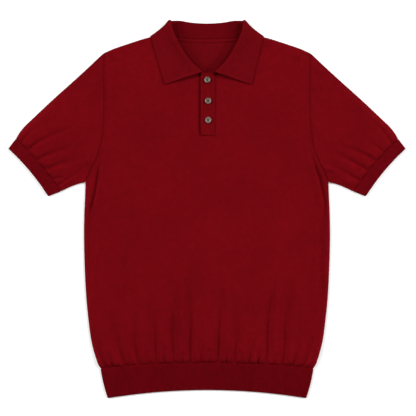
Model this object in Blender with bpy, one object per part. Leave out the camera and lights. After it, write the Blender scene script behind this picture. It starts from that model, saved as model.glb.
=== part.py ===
"""A short-sleeved polo shirt in fine knit cotton, laid flat on its back with its front upwards.

Sizes are in millimetres until place() makes a mesh in metres. +X is the wearer's left, +Y runs towards the
neck and +Z is up. The origin is on the floor, under the middle of the outline.
"""

import math

import bpy
import numpy as np

MM = 0.001
OUTLINE_MIDDLE_Y = 0.02  # middle of the outline, in the tables' own y
GAP = 0.3  # between two pieces that are sewn together

# Walls of cloth, and how they lie
KNIT = 1.2
RIB_KNIT = 1.5
COLLAR_KNIT = 1.6
TUBE_HEIGHT = 3.9  # of body, sleeves and bands, laid flat
FOLD_RADIUS = 1.8  # of a panel's folded side, so that front and back meet GAP apart
NECK_LIFT = 2.3  # both panels lie this much higher near the neck, on the collar's back fall
NECK_LIFT_START = 30.0  # they start to rise this far before the fall's edge
NECK_LIFT_RUN = 24.0  # and have risen after this much more
LOWEST_FRONT = 2 * KNIT + GAP  # outer height of a front that touches the back
FOLD_TURNS = (1.0, math.sqrt(0.5), 0.0)  # cosines of a folded side's angle, from its edge to the flat

# The right half of the outline, from the wearer's left side, mirrored for the other
HEM_SEAM_MIDDLE_Y = -307.6
HEM_SEAM_SIDE = (213.0, -318.0)
HEM_MIDDLE_Y = -361.5
HEM_CORNER = (198.5, -377.8)
UNDERARM = (243.0, 53.4)
SHOULDER_TIP = (206.5, 311.5)
NECK_POINT = (88.6, 349.4)
SIDE_SEAM = [
    HEM_SEAM_SIDE, (218, -310), (221.5, -300), (227, -282), (231.5, -262), (237, -222), (241, -182),
    (243.5, -142), (245, -102), (246, -52), (245, 0), (243.6, 30), UNDERARM,
]
ARMHOLE = [
    UNDERARM, (232, 78), (221.5, 100), (212, 132), (207.5, 168), (206, 218), (206.5, 268), SHOULDER_TIP,
]
SHOULDER = [NECK_POINT, (112, 343.5), (133, 338), (158, 330), (184, 321), SHOULDER_TIP]

# Gathers above the hem rib. Each groove runs up from the seam: where it starts, where it is 74 and 150 mm
# above the seam, then its depth, half width and length
GATHERS = np.array(
    [
        # seam_x, mid_x, high_x, depth, half_width, length
        (-194, -219, -228, 1.5, 4.5, 34),
        (-174, -199, -209, 1.1, 4.0, 30),
        (-158, -183, -192, 0.9, 4.0, 26),
        (-132, -147, -154, 3.2, 5.5, 150),
        (-113, -126, -133, 0.9, 4.0, 30),
        (-96, -104, -114, 2.4, 5.0, 130),
        (-80, -86, -91, 1.1, 4.0, 24),
        (-64, -69, -66, 2.3, 5.0, 160),
        (-48, -51, -49, 0.8, 3.5, 16),
        (-32, -32, -30, 2.4, 5.0, 120),
        (-14, -13, -11, 1.1, 4.0, 28),
        (3, 5, 7, 0.9, 4.0, 22),
        (19, 25, 29, 2.5, 5.0, 120),
        (36, 42, 43, 0.8, 3.5, 16),
        (52, 58, 57, 2.2, 5.0, 110),
        (80, 88, 92, 1.1, 4.0, 28),
        (112, 124, 136, 3.0, 5.5, 150),
        (129, 139, 148, 0.8, 3.5, 18),
        (144, 154, 163, 2.6, 5.0, 110),
        (168, 189, 196, 1.8, 4.5, 60),
        (186, 209, 218, 1.3, 4.0, 36),
        (202, 224, 231, 1.1, 3.5, 24),
    ],
    float,
)
SEAM_X, MID_X, HIGH_X, DEPTH, HALF_WIDTH, LENGTH = GATHERS.T
MID_RISE = 74.0
HIGH_RISE = 150.0
LONG_GATHER = 100.0
GATHER_PUFF = 2.2  # how far the gathered cloth swells above the rib
PUFF_START = 4.0  # within about this rise
PUFF_FADE = 70.0  # and sinks again over this one

# The two folds that run down the front from the underarms
UNDERARM_FOLDS = [
    # top_x, top_y, foot_x, foot_y, depth, half_width
    (-217, 98, -230, 4, 3.0, 6.5),
    (218, 94, 236, 10, 3.0, 6.5),
]
FOLD_SWELL = 0.55  # share of a fold's depth that its two banks stand up by

# Where the panels have rows and columns of points. Panels and sleeves share those along the armhole
FRONT_ROWS = [0, 0.006, 0.016, 0.033, 0.06, 0.1, 0.16, 0.235, 0.31, 0.39, 0.5, 0.65, 0.8, 0.88, 0.95, 1.0]
BACK_ROWS = [0, 0.03, 0.1, 0.25, 0.5, 0.75, 0.94, 1.0]
LOW_ARMHOLE = [0.02, 0.05, 0.1, 0.16, 0.23, 0.31]
HIGH_ARMHOLE = [0.5, 0.62, 0.74, 0.85, 0.94]
PLAIN_COLUMNS = [-0.74, -0.55, -0.35, -0.15, 0.0, 0.15, 0.35, 0.55, 0.74]
FOLD_STEPS = (-2.2, -1.0, 0.0, 1.0)  # columns across an underarm fold, in its half widths
NECK_MEETING = 0.46  # share of a panel's top edge that the neckline takes, before the shoulder
SHOULDER_COLUMNS = np.array([0.54, 0.66, 0.78, 0.89, 1.0])
MORE_GATHERS_TO = 40.0  # the short gathers have columns up to this far above the hem seam
FLANK = 1.1  # columns beside a long gather, in its half widths
CLOSEST_COLUMNS = 2.0

# Sleeve: its edges past the armhole, and the cuff
SLEEVE_TOP = [(238, 282), (263, 259), (307, 219.5), (350, 179), (366, 163.5), (377, 149), (381.6, 140.8)]
SLEEVE_UNDER = [(259, 49.5), (279, 41.5), (291, 35.6)]
CUFF_SEAM_BOW = 4.0  # how far the cuff's edges curve in from straight
CUFF_LOW = (317.0, 25.4)
CUFF_TIP = (397.0, 121.0)
# Gathers beside each cuff: where along the cuff seam each groove starts, 0 at the underside and 1 at the
# top, where along the sleeve's width it ends, how far in it runs as a share of the sleeve, its depth and
# its half width
SLEEVE_GATHERS = {
    "right": np.array(
        [
            # seam, inner, reach, depth, half_width
            (0.80, 0.70, 0.52, 2.4, 0.030),
            (0.62, 0.52, 0.50, 2.4, 0.030),
            (0.43, 0.38, 0.55, 2.2, 0.030),
            (0.24, 0.20, 0.32, 1.4, 0.026),
        ]
    ),
    "left": np.array(
        [
            (0.91, 0.88, 0.20, 1.0, 0.024),
            (0.76, 0.70, 0.24, 1.2, 0.024),
            (0.63, 0.52, 0.46, 2.4, 0.030),
            (0.47, 0.38, 0.42, 2.2, 0.030),
            (0.24, 0.20, 0.26, 1.2, 0.026),
        ]
    ),
}
SLEEVE_PUFF = 1.4  # how far the sleeve swells before its cuff, and where, as shares of its length and width
SLEEVE_PUFF_FROM = 0.2
SLEEVE_PUFF_RISE = 0.5
SLEEVE_PUFF_START = 0.06
SLEEVE_PUFF_EDGE = 0.12
SLEEVE_COLUMNS = [0.0, 0.05, 0.14, 0.34, 0.53, 0.72, 0.86, 0.96, 1.0]
SLEEVE_UNDER_COLUMNS = [0.0, 0.25, 0.5, 0.75, 1.0]
SLEEVE_ROWS = [0.0, 0.1, 0.3, 0.5, 0.64, 0.76, 0.86, 0.93, 0.975, 1.0]

# Ribs raised on the bands
RIB_HEIGHT = 0.45
RIB_FLANKS = (0.3, 0.72)  # where a rib's top begins and ends, as shares of one rib's width
HEM_RIBS = 96
CUFF_RIBS = 28
BAND_COLUMNS = [0.0, 0.2, 0.4, 0.6, 0.8, 1.0]  # of a band's plain underside
HEM_BELLY = 1.5  # how far the hem rib's ends bulge past straight

# Placket
PLACKET_LEFT = -12.6
PLACKET_RIGHT = 16.0
PLACKET_BOTTOM = 147.0
PLACKET_TOP = 272.0
PLACKET_ROWS = [180.0, 210.0, 240.0, 270.2]
SLIT_LEFT = -10.6
SLIT_RIGHT = 14.0
SLIT_TOP_DROP = 0.7  # how far the slit's edges end below the neckline
UNDER_BAND_TOP = 265.0
BAND_KNIT = 1.6
BAND_ROUND = (0.8, 0.3)  # width and drop of the band's rounded edges
STITCH_RIDGE = (12.2, 0.9, 0.4)  # middle, half width and height of the ridge along the topstitching

# Buttons: centre of each, and the turned profile
BUTTONS = [(0.6, 257.6), (2.2, 215.8), (2.4, 177.4)]
BUTTON_PROFILE = [
    # radius, height
    (4.2, 0.0), (5.7, 0.5), (6.4, 1.2), (6.4, 1.8), (5.9, 2.4), (5.0, 2.5), (4.2, 1.9),
]
BUTTON_SIDES = 24

# Collar. Each row is a section of its right half: the neck seam, the top of the fold, the outer edge, the
# way the fold leans from straight up the shirt, in degrees, and how far both halves are pulled to the
# wearer's left
FOLD_HALF = 1.05  # half the distance between stand and fall at the fold
COLLAR_FRONT = [
    # seam_x, seam_y, fold_x, fold_y, fold_z, edge_x, edge_y, lean, pull
    (15.1, 267.6, 14.2, 275.0, 5.7, 86.9, 248.0, 49, 3.0),
    (31.2, 278.2, 26.6, 289.0, 6.8, 91.2, 264.0, 55, 3.0),
    (54.5, 297.2, 43.4, 311.0, 7.7, 97.2, 286.5, 60, 2.6),
    (71.8, 317.3, 58.0, 336.0, 8.3, 103.4, 311.0, 62, 2.0),
    (82.5, 335.2, 68.6, 358.0, 8.5, 109.0, 332.5, 66, 1.6),
]
SEAM_PULL = 0.57  # share of the pull that the neck seam takes
EDGE_PULL = 0.62  # and the outer edge
COLLAR_BACK = [
    # seam_x, seam_y, fold_x, fold_y, edge_x, edge_y, lean
    (70.0, 346.0, 54.0, 375.3, 84.0, 329.8, 9),
    (45.0, 340.7, 34.0, 372.1, 56.0, 318.3, 8),
    (22.0, 337.8, 16.0, 370.5, 28.0, 311.3, 4),
    (0.0, 337.0, 0.0, 370.0, 0.0, 309.0, 0),
]
COLLAR_SIDE = {"seam": (88.0, 351.0), "fold": (73.2, 378.6), "edge": (113.8, 346.6)}
COLLAR_SIDE_FOLD_Z = 8.5
COLLAR_BACK_Z = {"seam": 2.9, "fold": 1.85, "edge": 0.8}  # middle of the wall
TURN_STEPS = 4  # sections round the side of the neck, from the front to the back
TURN_LEAN = (58.0, 16.0)  # degrees, at the first and the last of them
FALL_CAMBER = 0.8  # how far the fall bulges between its fold and its edge
FALL_CLEAR = 1.0  # between the fall's edge and the front under it

CLOTH = {"colour": (0.165, 0.0035, 0.0065, 1.0), "roughness": 0.9}
RIB_CLOTH = {"colour": (0.115, 0.002, 0.0045, 1.0), "roughness": 0.95}
HORN = {"colour": (0.26, 0.21, 0.17, 1.0), "roughness": 0.3}


# ---------------------------------------------------------------- curves


def spline(points):
    """A smooth curve through the points: a function of the share of its length, 0 to 1."""
    knots = np.array(points, float)
    shares = knot_shares(points)
    slopes = np.gradient(knots, shares, axis=0)

    def at(share):
        share = np.clip(np.atleast_1d(np.asarray(share, float)), 0.0, 1.0)
        i = np.clip(np.searchsorted(shares, share, side="right") - 1, 0, len(shares) - 2)
        span = (shares[i + 1] - shares[i])[:, None]
        t = ((share - shares[i])[:, None]) / span
        return (
            (2 * t**3 - 3 * t**2 + 1) * knots[i]
            + (t**3 - 2 * t**2 + t) * span * slopes[i]
            + (3 * t**2 - 2 * t**3) * knots[i + 1]
            + (t**3 - t**2) * span * slopes[i + 1]
        )

    return at


def knot_shares(points):
    """How far along the line through the points each of them lies, 0 to 1."""
    steps = np.linalg.norm(np.diff(np.array(points, float), axis=0), axis=1)
    return np.concatenate([[0.0], np.cumsum(steps)]) / steps.sum()


def length_of(points):
    return np.linalg.norm(np.diff(points, axis=0), axis=1).sum()


def chain(first, second, meeting):
    """Two curves end to end: the second starts at this share of the whole."""

    def at(share):
        share = np.atleast_1d(np.asarray(share, float))[:, None]
        early = first(np.clip(share[:, 0] / meeting, 0, 1))
        late = second(np.clip((share[:, 0] - meeting) / (1 - meeting), 0, 1))
        return np.where(share < meeting, early, late)

    return at


def aside(curve, distance):
    """The curve moved to its right by a distance."""

    def at(share):
        share = np.atleast_1d(np.asarray(share, float))
        along = curve(np.minimum(share + 0.004, 1)) - curve(np.maximum(share - 0.004, 0))
        along /= np.linalg.norm(along, axis=1)[:, None]
        return curve(share) + distance * np.stack([along[:, 1], -along[:, 0]], axis=1)

    return at


def patch(low, high, inner, outer):
    """A surface between four edge curves that meet at the corners, as a function of two shares."""
    corner = [low(0), low(1), high(0), high(1)]

    def at(across, up):
        across, up = np.broadcast_arrays(np.atleast_1d(across) + 0.0, np.atleast_1d(up) + 0.0)
        a = across[:, None]
        u = up[:, None]
        ruled_up = (1 - u) * low(across) + u * high(across)
        ruled_across = (1 - a) * inner(up) + a * outer(up)
        corners = (1 - a) * (1 - u) * corner[0] + a * (1 - u) * corner[1]
        corners = corners + (1 - a) * u * corner[2] + a * u * corner[3]
        return ruled_up + ruled_across - corners

    return at


def mirrored(points):
    return np.array(points, float) * (-1, 1)


def smooth_step(share):
    share = np.clip(share, 0, 1)
    return share * share * (3 - 2 * share)


SAMPLES = np.linspace(0, 1, 200)
SIDE_SAMPLES = spline(SIDE_SEAM)(SAMPLES)
ARMHOLE_CURVE = spline(ARMHOLE)
ARMHOLE_START = float(np.interp(PLACKET_BOTTOM, ARMHOLE_CURVE(SAMPLES)[:, 1], SAMPLES))  # level with its foot
ARMHOLE_ROWS = np.array(LOW_ARMHOLE + [ARMHOLE_START] + HIGH_ARMHOLE)


def side_x(y):
    return np.interp(y, SIDE_SAMPLES[:, 1], SIDE_SAMPLES[:, 0])


def hem_seam_y(x):
    return HEM_SEAM_MIDDLE_Y + (HEM_SEAM_SIDE[1] - HEM_SEAM_MIDDLE_Y) * (x / HEM_SEAM_SIDE[0]) ** 2


# ---------------------------------------------------------------- heights of the cloth


def fall_edge_y(x):
    """The outer edge of the collar's back fall, which lies under the back panel."""
    middle = COLLAR_BACK[-1][5]
    return middle + (COLLAR_SIDE["edge"][1] - middle) * (x / COLLAR_SIDE["edge"][0]) ** 2


def neck_rise(x, y):
    """How much both panels lie above the floor's level on their way onto the collar's back fall."""
    return NECK_LIFT * smooth_step((y - fall_edge_y(x) + NECK_LIFT_START) / NECK_LIFT_RUN)


def groove(offset):
    """A soft trough's depth as a share, by the distance from its middle in half widths."""
    return np.exp(-(offset**2))


def gather_share(seam_x, rise):
    """Where the wale that leaves the hem seam at seam_x lies at this rise, as a share of the half width."""
    seam = HEM_SEAM_SIDE[0]
    starts = np.concatenate([[-seam], SEAM_X, [seam]])
    mid_side = side_x(HEM_SEAM_MIDDLE_Y + MID_RISE)
    high_side = side_x(HEM_SEAM_MIDDLE_Y + HIGH_RISE)
    at_seam = np.interp(seam_x, starts, starts / seam)
    at_mid = np.interp(seam_x, starts, np.concatenate([[-1], MID_X / mid_side, [1]]))
    at_high = np.interp(seam_x, starts, np.concatenate([[-1], HIGH_X / high_side, [1]]))
    low = at_seam + (at_mid - at_seam) * np.clip(rise / MID_RISE, 0, 1)
    return low + (at_high - at_mid) * np.clip((rise - MID_RISE) / (HIGH_RISE - MID_RISE), 0, 1)


def gather_relief(x, y):
    rise = np.maximum(y - hem_seam_y(x), 0)
    puff = GATHER_PUFF * (1 - np.exp(-rise / PUFF_START)) * np.exp(-rise / PUFF_FADE)
    total = puff
    for seam_x, depth, half_width, length in zip(SEAM_X, DEPTH, HALF_WIDTH, LENGTH):
        middle = gather_share(seam_x, rise) * side_x(y)
        fade = np.clip(1 - rise / length, 0, 1) * (0.35 + 0.65 * (1 - np.exp(-rise / PUFF_START)))
        total = total - depth * fade * groove((x - middle) / half_width)
    return total


def fold_relief(x, y):
    total = np.zeros(np.broadcast(x, y).shape)
    for top_x, top_y, foot_x, foot_y, depth, half_width in UNDERARM_FOLDS:
        down = (top_y - y) / (top_y - foot_y)
        middle = top_x + (foot_x - top_x) * down
        fade = smooth_step((down + 0.05) / 0.35) * smooth_step((1.35 - down) / 0.5)
        offset = np.abs(x - middle) / half_width
        banks = FOLD_SWELL * groove((offset - 2) / 0.9)
        total = total + depth * fade * (banks - groove(offset))
    return total


def front_height(x, y):
    """Height of the front panel's outer side. A deep groove flattens out where it meets the back."""
    relief = gather_relief(x, y) + fold_relief(x, y)
    half_slack = (TUBE_HEIGHT - LOWEST_FRONT) / 2
    flattened = half_slack * (np.exp(relief / half_slack + 1) - 2)
    return TUBE_HEIGHT + np.where(relief < -half_slack, flattened, relief) + neck_rise(x, y)


def back_height(x, y):
    """Height of the back panel's outer side, which is its underside."""
    return neck_rise(x, y)


# ---------------------------------------------------------------- meshes


def place(name, points, faces, finish):
    """The object made of these points in millimetres."""
    points = (np.array(points, float) - (0, OUTLINE_MIDDLE_Y, 0)) * MM
    mesh = bpy.data.meshes.new(name)
    mesh.from_pydata(points.tolist(), [], faces)
    mesh.shade_smooth()
    mesh.set_sharp_from_angle(angle=math.radians(50))
    material = bpy.data.materials.new(name)
    material.use_nodes = True
    shader = material.node_tree.nodes["Principled BSDF"]
    shader.inputs["Base Color"].default_value = finish["colour"]
    shader.inputs["Roughness"].default_value = finish["roughness"]
    shader.inputs["Metallic"].default_value = 0.0
    mesh.materials.append(material)
    made = bpy.data.objects.new(name, mesh)
    bpy.context.scene.collection.objects.link(made)
    return made


def strip(low, high, low_keys=None, high_keys=None):
    """Faces between two rows of point numbers. Rows of unlike length are matched by their keys."""
    if len(low) == len(high):
        return [(low[i], low[i + 1], high[i + 1], high[i]) for i in range(len(low) - 1)]
    faces = []
    i = j = 0
    while i < len(low) - 1 or j < len(high) - 1:
        if j == len(high) - 1 or (i < len(low) - 1 and low_keys[i + 1] <= high_keys[j + 1]):
            faces.append((low[i], low[i + 1], high[j]))
            i += 1
        else:
            faces.append((low[i], high[j + 1], high[j]))
            j += 1
    return faces


class Cloth:
    """A wall of cloth with an outer and an inner skin of the same faces."""

    def __init__(self):
        self.outer = []
        self.inner = []
        self.faces = []

    def row(self, outer, inner):
        first = len(self.outer)
        self.outer += [tuple(point) for point in outer]
        self.inner += [tuple(point) for point in inner]
        return list(range(first, len(self.outer)))

    def join(self, low, high, low_keys=None, high_keys=None):
        self.faces += strip(low, high, low_keys, high_keys)

    def finish(self, name, finish, upward=True):
        """Closes the wall along every open edge and places it."""
        faces = self.faces if upward else [face[::-1] for face in self.faces]
        count = len(self.outer)
        edges = {(face[k - 1], face[k]) for face in faces for k in range(len(face))}
        rims = [(b, a, a + count, b + count) for a, b in sorted(edges) if (b, a) not in edges]
        inside = [tuple(corner + count for corner in face[::-1]) for face in faces]
        return place(name, self.outer + self.inner, faces + inside + rims, finish)


def cloth_row(places, height, up, lean=None, wall=KNIT):
    """Outer and inner points over these places. lean turns a folded edge outwards, fully at a length of 1."""
    x, y = places[:, 0], places[:, 1]
    lean = np.zeros_like(places) if lean is None else lean
    turned = np.linalg.norm(lean, axis=1)
    level = np.sqrt(np.maximum(1 - turned**2, 0))
    step = 0.2
    slope_x = (height(x + step, y) - height(x - step, y)) / (2 * step)
    slope_y = (height(x, y + step) - height(x, y - step)) / (2 * step)
    flat_normal = np.stack([-slope_x, -slope_y, np.ones_like(x)], axis=1)
    flat_normal /= np.linalg.norm(flat_normal, axis=1)[:, None]
    normal = up * flat_normal * level[:, None] + np.column_stack([lean, np.zeros_like(x)])
    normal /= np.linalg.norm(normal, axis=1)[:, None]
    z = height(x, y) - up * FOLD_RADIUS * (1 - level)
    outer = np.column_stack([x, y, z])
    return outer, outer - wall * normal


def body_row(shares, share_up):
    """Places of one row of the body below the underarms, with its folded sides, their lean and their keys."""
    x = np.array(shares) * side_x(HEM_SEAM_MIDDLE_Y + share_up * (UNDERARM[1] - HEM_SEAM_MIDDLE_Y))
    for _ in range(3):
        seam = hem_seam_y(x)
        y = seam + share_up * (UNDERARM[1] - seam)
        x = np.array(shares) * (side_x(y) - FOLD_RADIUS)
    flat = np.column_stack([x, y])
    side = [side_x(y[-1]), y[-1]]
    right = np.array([[side[0] - FOLD_RADIUS * (1 - turn), side[1]] for turn in FOLD_TURNS[:2]])
    right_lean = np.array([[turn, 0] for turn in FOLD_TURNS[:2]])
    places = np.concatenate([mirrored(right), flat, right[::-1]])
    lean = np.concatenate([mirrored(right_lean), np.zeros_like(flat), right_lean[::-1]])
    return places, lean, places[:, 0] / side[0]


# ---------------------------------------------------------------- front and back


def gather_columns(rise):
    """Shares of the half width at which a row of the gathered cloth has its points."""
    alive = LENGTH > (0 if rise < MORE_GATHERS_TO else LONG_GATHER)
    starts = SEAM_X[alive]
    middles = (starts[1:] + starts[:-1]) / 2
    long = LENGTH >= LONG_GATHER
    flanks = np.concatenate([SEAM_X[long] + side * FLANK * HALF_WIDTH[long] for side in (-1, 1)])
    columns = np.unique(np.concatenate([[-HEM_SEAM_SIDE[0]], starts, middles, flanks, [HEM_SEAM_SIDE[0]]]))
    close = np.concatenate([[False], np.diff(columns) < CLOSEST_COLUMNS])
    return gather_share(columns[~close], rise)


def fold_columns(y, half_width):
    """Shares of the half width for a row that only the underarm folds cross."""
    columns = list(PLAIN_COLUMNS)
    for top_x, top_y, foot_x, foot_y, _, fold_half_width in UNDERARM_FOLDS:
        middle = top_x + (foot_x - top_x) * (top_y - y) / (top_y - foot_y)
        for step in FOLD_STEPS:
            columns.append((middle + step * fold_half_width * np.sign(middle)) / half_width)
    return np.sort(np.clip(columns, -0.993, 0.993)).tolist()


def beside_neck(points, distance):
    """Places beside the collar's seam, on the panel's side of it."""
    moved = aside(spline(points), distance)
    return [tuple(place) for place in moved(knot_shares(points))]


def upper_half(slit_x, flip):
    """Half of the front above the placket's foot, drawn on the right: its surface, top edge and columns."""
    seam = [(seam_x + flip * SEAM_PULL * pull, seam_y) for seam_x, seam_y, *_, pull in COLLAR_FRONT]
    neck = beside_neck(seam, GAP)
    neck = [(slit_x, neck[0][1] - SLIT_TOP_DROP)] + neck + [NECK_POINT]
    foot = spline([(slit_x, PLACKET_BOTTOM), ARMHOLE_CURVE(ARMHOLE_START)[0]])
    top = chain(spline(neck), spline(SHOULDER), NECK_MEETING)

    def armhole(up):
        return ARMHOLE_CURVE(ARMHOLE_START + (1 - ARMHOLE_START) * np.atleast_1d(up))

    columns = np.concatenate([knot_shares(neck) * NECK_MEETING, SHOULDER_COLUMNS])
    return patch(foot, top, spline([(slit_x, PLACKET_BOTTOM), neck[0]]), armhole), top, columns


def folded_top(top, columns):
    """The last rows below the top edge, from flat to fully turned along the shoulder."""
    rows = []
    folded = smooth_step((columns - NECK_MEETING) / 0.06)
    along = top(np.minimum(columns + 0.01, 1)) - top(np.maximum(columns - 0.01, 0))
    along /= np.linalg.norm(along, axis=1)[:, None]
    outwards = np.stack([-along[:, 1], along[:, 0]], axis=1)
    for turn in FOLD_TURNS[::-1]:
        places = top(columns) - outwards * FOLD_RADIUS * (1 - turn)
        rows.append((places, outwards * (turn * folded)[:, None]))
    return rows


def make_front():
    cloth = Cloth()
    previous = None
    for share_up in FRONT_ROWS:
        rise = share_up * (UNDERARM[1] - HEM_SEAM_MIDDLE_Y)
        if rise < HIGH_RISE:
            shares = gather_columns(rise)
        else:
            y = HEM_SEAM_MIDDLE_Y + rise
            shares = fold_columns(y, side_x(y) - FOLD_RADIUS)
        places, lean, keys = body_row(shares, share_up)
        row = cloth.row(*cloth_row(places, front_height, 1, lean))
        if previous:
            cloth.join(previous[0], row, previous[1], keys)
        previous = (row, keys)

    for edge, y in ARMHOLE_CURVE(LOW_ARMHOLE):
        shares = np.array([-1.0] + fold_columns(y, edge) + [1.0])
        places = np.column_stack([shares * edge, np.full_like(shares, y)])
        row = cloth.row(*cloth_row(places, front_height, 1))
        cloth.join(previous[0], row, previous[1], shares)
        previous = (row, shares)

    left, left_top, left_columns = upper_half(-SLIT_LEFT, -1)
    right, right_top, right_columns = upper_half(SLIT_RIGHT, 1)
    foot_places = np.concatenate([mirrored(left(left_columns[::-1], 0)), right(right_columns, 0)])
    foot = cloth.row(*cloth_row(foot_places, front_height, 1))
    cloth.join(previous[0], foot, previous[1], foot_places[:, 0] / foot_places[-1, 0])

    count = len(right_columns)
    ups = [(share - ARMHOLE_START) / (1 - ARMHOLE_START) for share in HIGH_ARMHOLE]
    for half, top, columns, flip, low in (
        (left, left_top, left_columns, -1, foot[:count]),
        (right, right_top, right_columns, 1, foot[count:]),
    ):
        rows = [(half(columns, up), np.zeros((count, 2))) for up in ups]
        for places, lean in rows + folded_top(top, columns):
            places = places[::flip] * (flip, 1)
            row = cloth.row(*cloth_row(places, front_height, 1, lean[::flip] * (flip, 1)))
            cloth.join(low, row)
            low = row
    return cloth.finish("front", CLOTH)


def make_back():
    cloth = Cloth()
    previous = None
    neck = beside_neck([row[:2] for row in COLLAR_BACK], -GAP)[::-1] + [NECK_POINT]
    across = np.concatenate([knot_shares(neck) * NECK_MEETING, SHOULDER_COLUMNS])
    both = np.concatenate([-across[:0:-1], across])
    for share_up in BACK_ROWS:
        places, lean, _ = body_row(both, share_up)
        row = cloth.row(*cloth_row(places, back_height, -1, lean))
        if previous:
            cloth.join(previous, row)
        previous = row

    top = chain(spline(neck), spline(SHOULDER), NECK_MEETING)
    foot = (0, UNDERARM[1])
    half = patch(spline([foot, UNDERARM]), top, spline([foot, neck[0]]), ARMHOLE_CURVE)
    rows = [(half(across, up), np.zeros((len(across), 2))) for up in ARMHOLE_ROWS]
    for places, lean in rows + folded_top(top, across):
        places = np.concatenate([mirrored(places[:0:-1]), places])
        lean = np.concatenate([mirrored(lean[:0:-1]), lean])
        row = cloth.row(*cloth_row(places, back_height, -1, lean))
        if len(row) == len(previous):
            cloth.join(previous, row)
        else:
            cloth.join(previous[2:-2], row)
            cloth.faces += [(previous[0], previous[1], row[0]), (previous[1], previous[2], row[0])]
            cloth.faces += [(previous[-2], previous[-1], row[-1]), (previous[-3], previous[-2], row[-1])]
        previous = row
    return cloth.finish("back", CLOTH, upward=False)


# ---------------------------------------------------------------- flattened tubes


def ring(width, inset, top_shares, low_shares, arc_steps=3):
    """Stations round a flattened tube: distance across its width, height, and whether on its upper side."""
    centre = TUBE_HEIGHT / 2
    radius = centre - inset
    flat = width - 2 * centre
    stations = [(centre + share * flat, centre + radius, 1.0) for share in top_shares]
    for step in range(1, arc_steps + 1):
        angle = math.pi * (0.5 - step / (arc_steps + 1))
        stations.append((width - centre + radius * math.cos(angle), centre + radius * math.sin(angle), 0.0))
    stations += [(centre + share * flat, centre - radius, 0.0) for share in low_shares[::-1]]
    for step in range(1, arc_steps + 1):
        angle = math.pi * (-0.5 - step / (arc_steps + 1))
        stations.append((centre + radius * math.cos(angle), centre + radius * math.sin(angle), 0.0))
    return np.array(stations)


def ring_keys(stations, width):
    """How far round the tube each station is: 0 to 1 over the upper side and 1 to 2 back under it."""
    share = stations[:, 0] / width
    highest = int(np.argmax(share))
    upper = np.arange(len(share)) <= highest
    return np.append(np.where(upper, share, 2 - share), 2.0 + share[0])


def sleeve_relief(side):
    """Height of a sleeve's upper side above the tube's own, by the shares across and along the sleeve."""
    table = SLEEVE_GATHERS[side]

    def at(across, along):
        start = smooth_step((1 - along) / SLEEVE_PUFF_START)
        swell = smooth_step((along - SLEEVE_PUFF_FROM) / SLEEVE_PUFF_RISE)
        edges = smooth_step(np.minimum(across, 1 - across) / SLEEVE_PUFF_EDGE)
        total = SLEEVE_PUFF * start * swell * edges
        for seam, inner, reach, depth, half_width in table:
            inwards = (1 - along) / reach
            middle = seam + (inner - seam) * inwards
            fade = np.clip(1 - inwards, 0, 1) ** 0.7 * (0.3 + 0.7 * start)
            total = total - depth * fade * groove((across - middle) / half_width)
        return np.maximum(total, LOWEST_FRONT - TUBE_HEIGHT)

    return at


def cuff_seam():
    return bowed(SLEEVE_UNDER[-1], SLEEVE_TOP[-1], CUFF_SEAM_BOW)


def bowed(start, end, bow):
    """A shallow arc between two points that curves towards the shirt's middle."""
    start, end = np.array(start, float), np.array(end, float)
    along = (end - start) / np.linalg.norm(end - start)
    inwards = np.array([-along[1], along[0]])
    return spline([start + (end - start) * t + inwards * bow * 4 * t * (1 - t) for t in np.linspace(0, 1, 5)])


def make_sleeve(side, flip):
    armhole = aside(ARMHOLE_CURVE, GAP)
    under = spline([armhole(0)[0]] + SLEEVE_UNDER)
    surface = patch(armhole, cuff_seam(), under, spline([armhole(1)[0]] + SLEEVE_TOP))
    columns = list(SLEEVE_COLUMNS)
    for seam, _, _, _, half_width in SLEEVE_GATHERS[side]:
        columns += [seam - 1.3 * half_width, seam, seam + 1.3 * half_width]
    columns = np.unique(np.round(columns, 3))
    columns = columns[np.concatenate([[True], np.diff(columns) > 0.012])]
    relief = sleeve_relief(side)
    cloth = Cloth()
    previous = None
    for along in SLEEVE_ROWS:
        width = length_of(surface(np.linspace(0, 1, 30), along))
        top, low = columns + sleeve_drift(side, columns, along), np.array(SLEEVE_UNDER_COLUMNS)
        if along == 0:
            top = low = (ARMHOLE_ROWS * width - TUBE_HEIGHT / 2) / (width - TUBE_HEIGHT)
        rows = []
        for inset in (0.0, KNIT):
            stations = ring(width, inset, top, low)
            across = stations[:, 0] / width
            lift = relief(across, along) * stations[:, 2]
            if inset:
                slope = (relief(across + 0.01, along) - relief(across - 0.01, along)) / (0.02 * width)
                lift = lift - stations[:, 2] * KNIT * (np.sqrt(1 + slope**2) - 1)
            spots = surface(across, along)
            rows.append(np.column_stack([spots * (flip, 1), stations[:, 1] + lift]))
        row = cloth.row(*rows)
        row = row + row[:1]
        keys = ring_keys(stations, width)
        if previous:
            cloth.join(previous[0], row, previous[1], keys)
        previous = (row, keys)
    return cloth.finish(f"sleeve_{side}", CLOTH, upward=flip < 0)


def sleeve_drift(side, columns, along):
    """How far the sleeve's columns lean to follow its gathers, as shares of its width."""
    table = SLEEVE_GATHERS[side]
    order = np.argsort(table[:, 0])
    seams, inners, reaches = table[order, 0], table[order, 1], table[order, 2]
    leans = (inners - seams) * np.clip((1 - along) / reaches, 0, 1)
    return np.interp(columns, np.concatenate([[0], seams, [1]]), np.concatenate([[0], leans, [0]]))


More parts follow.
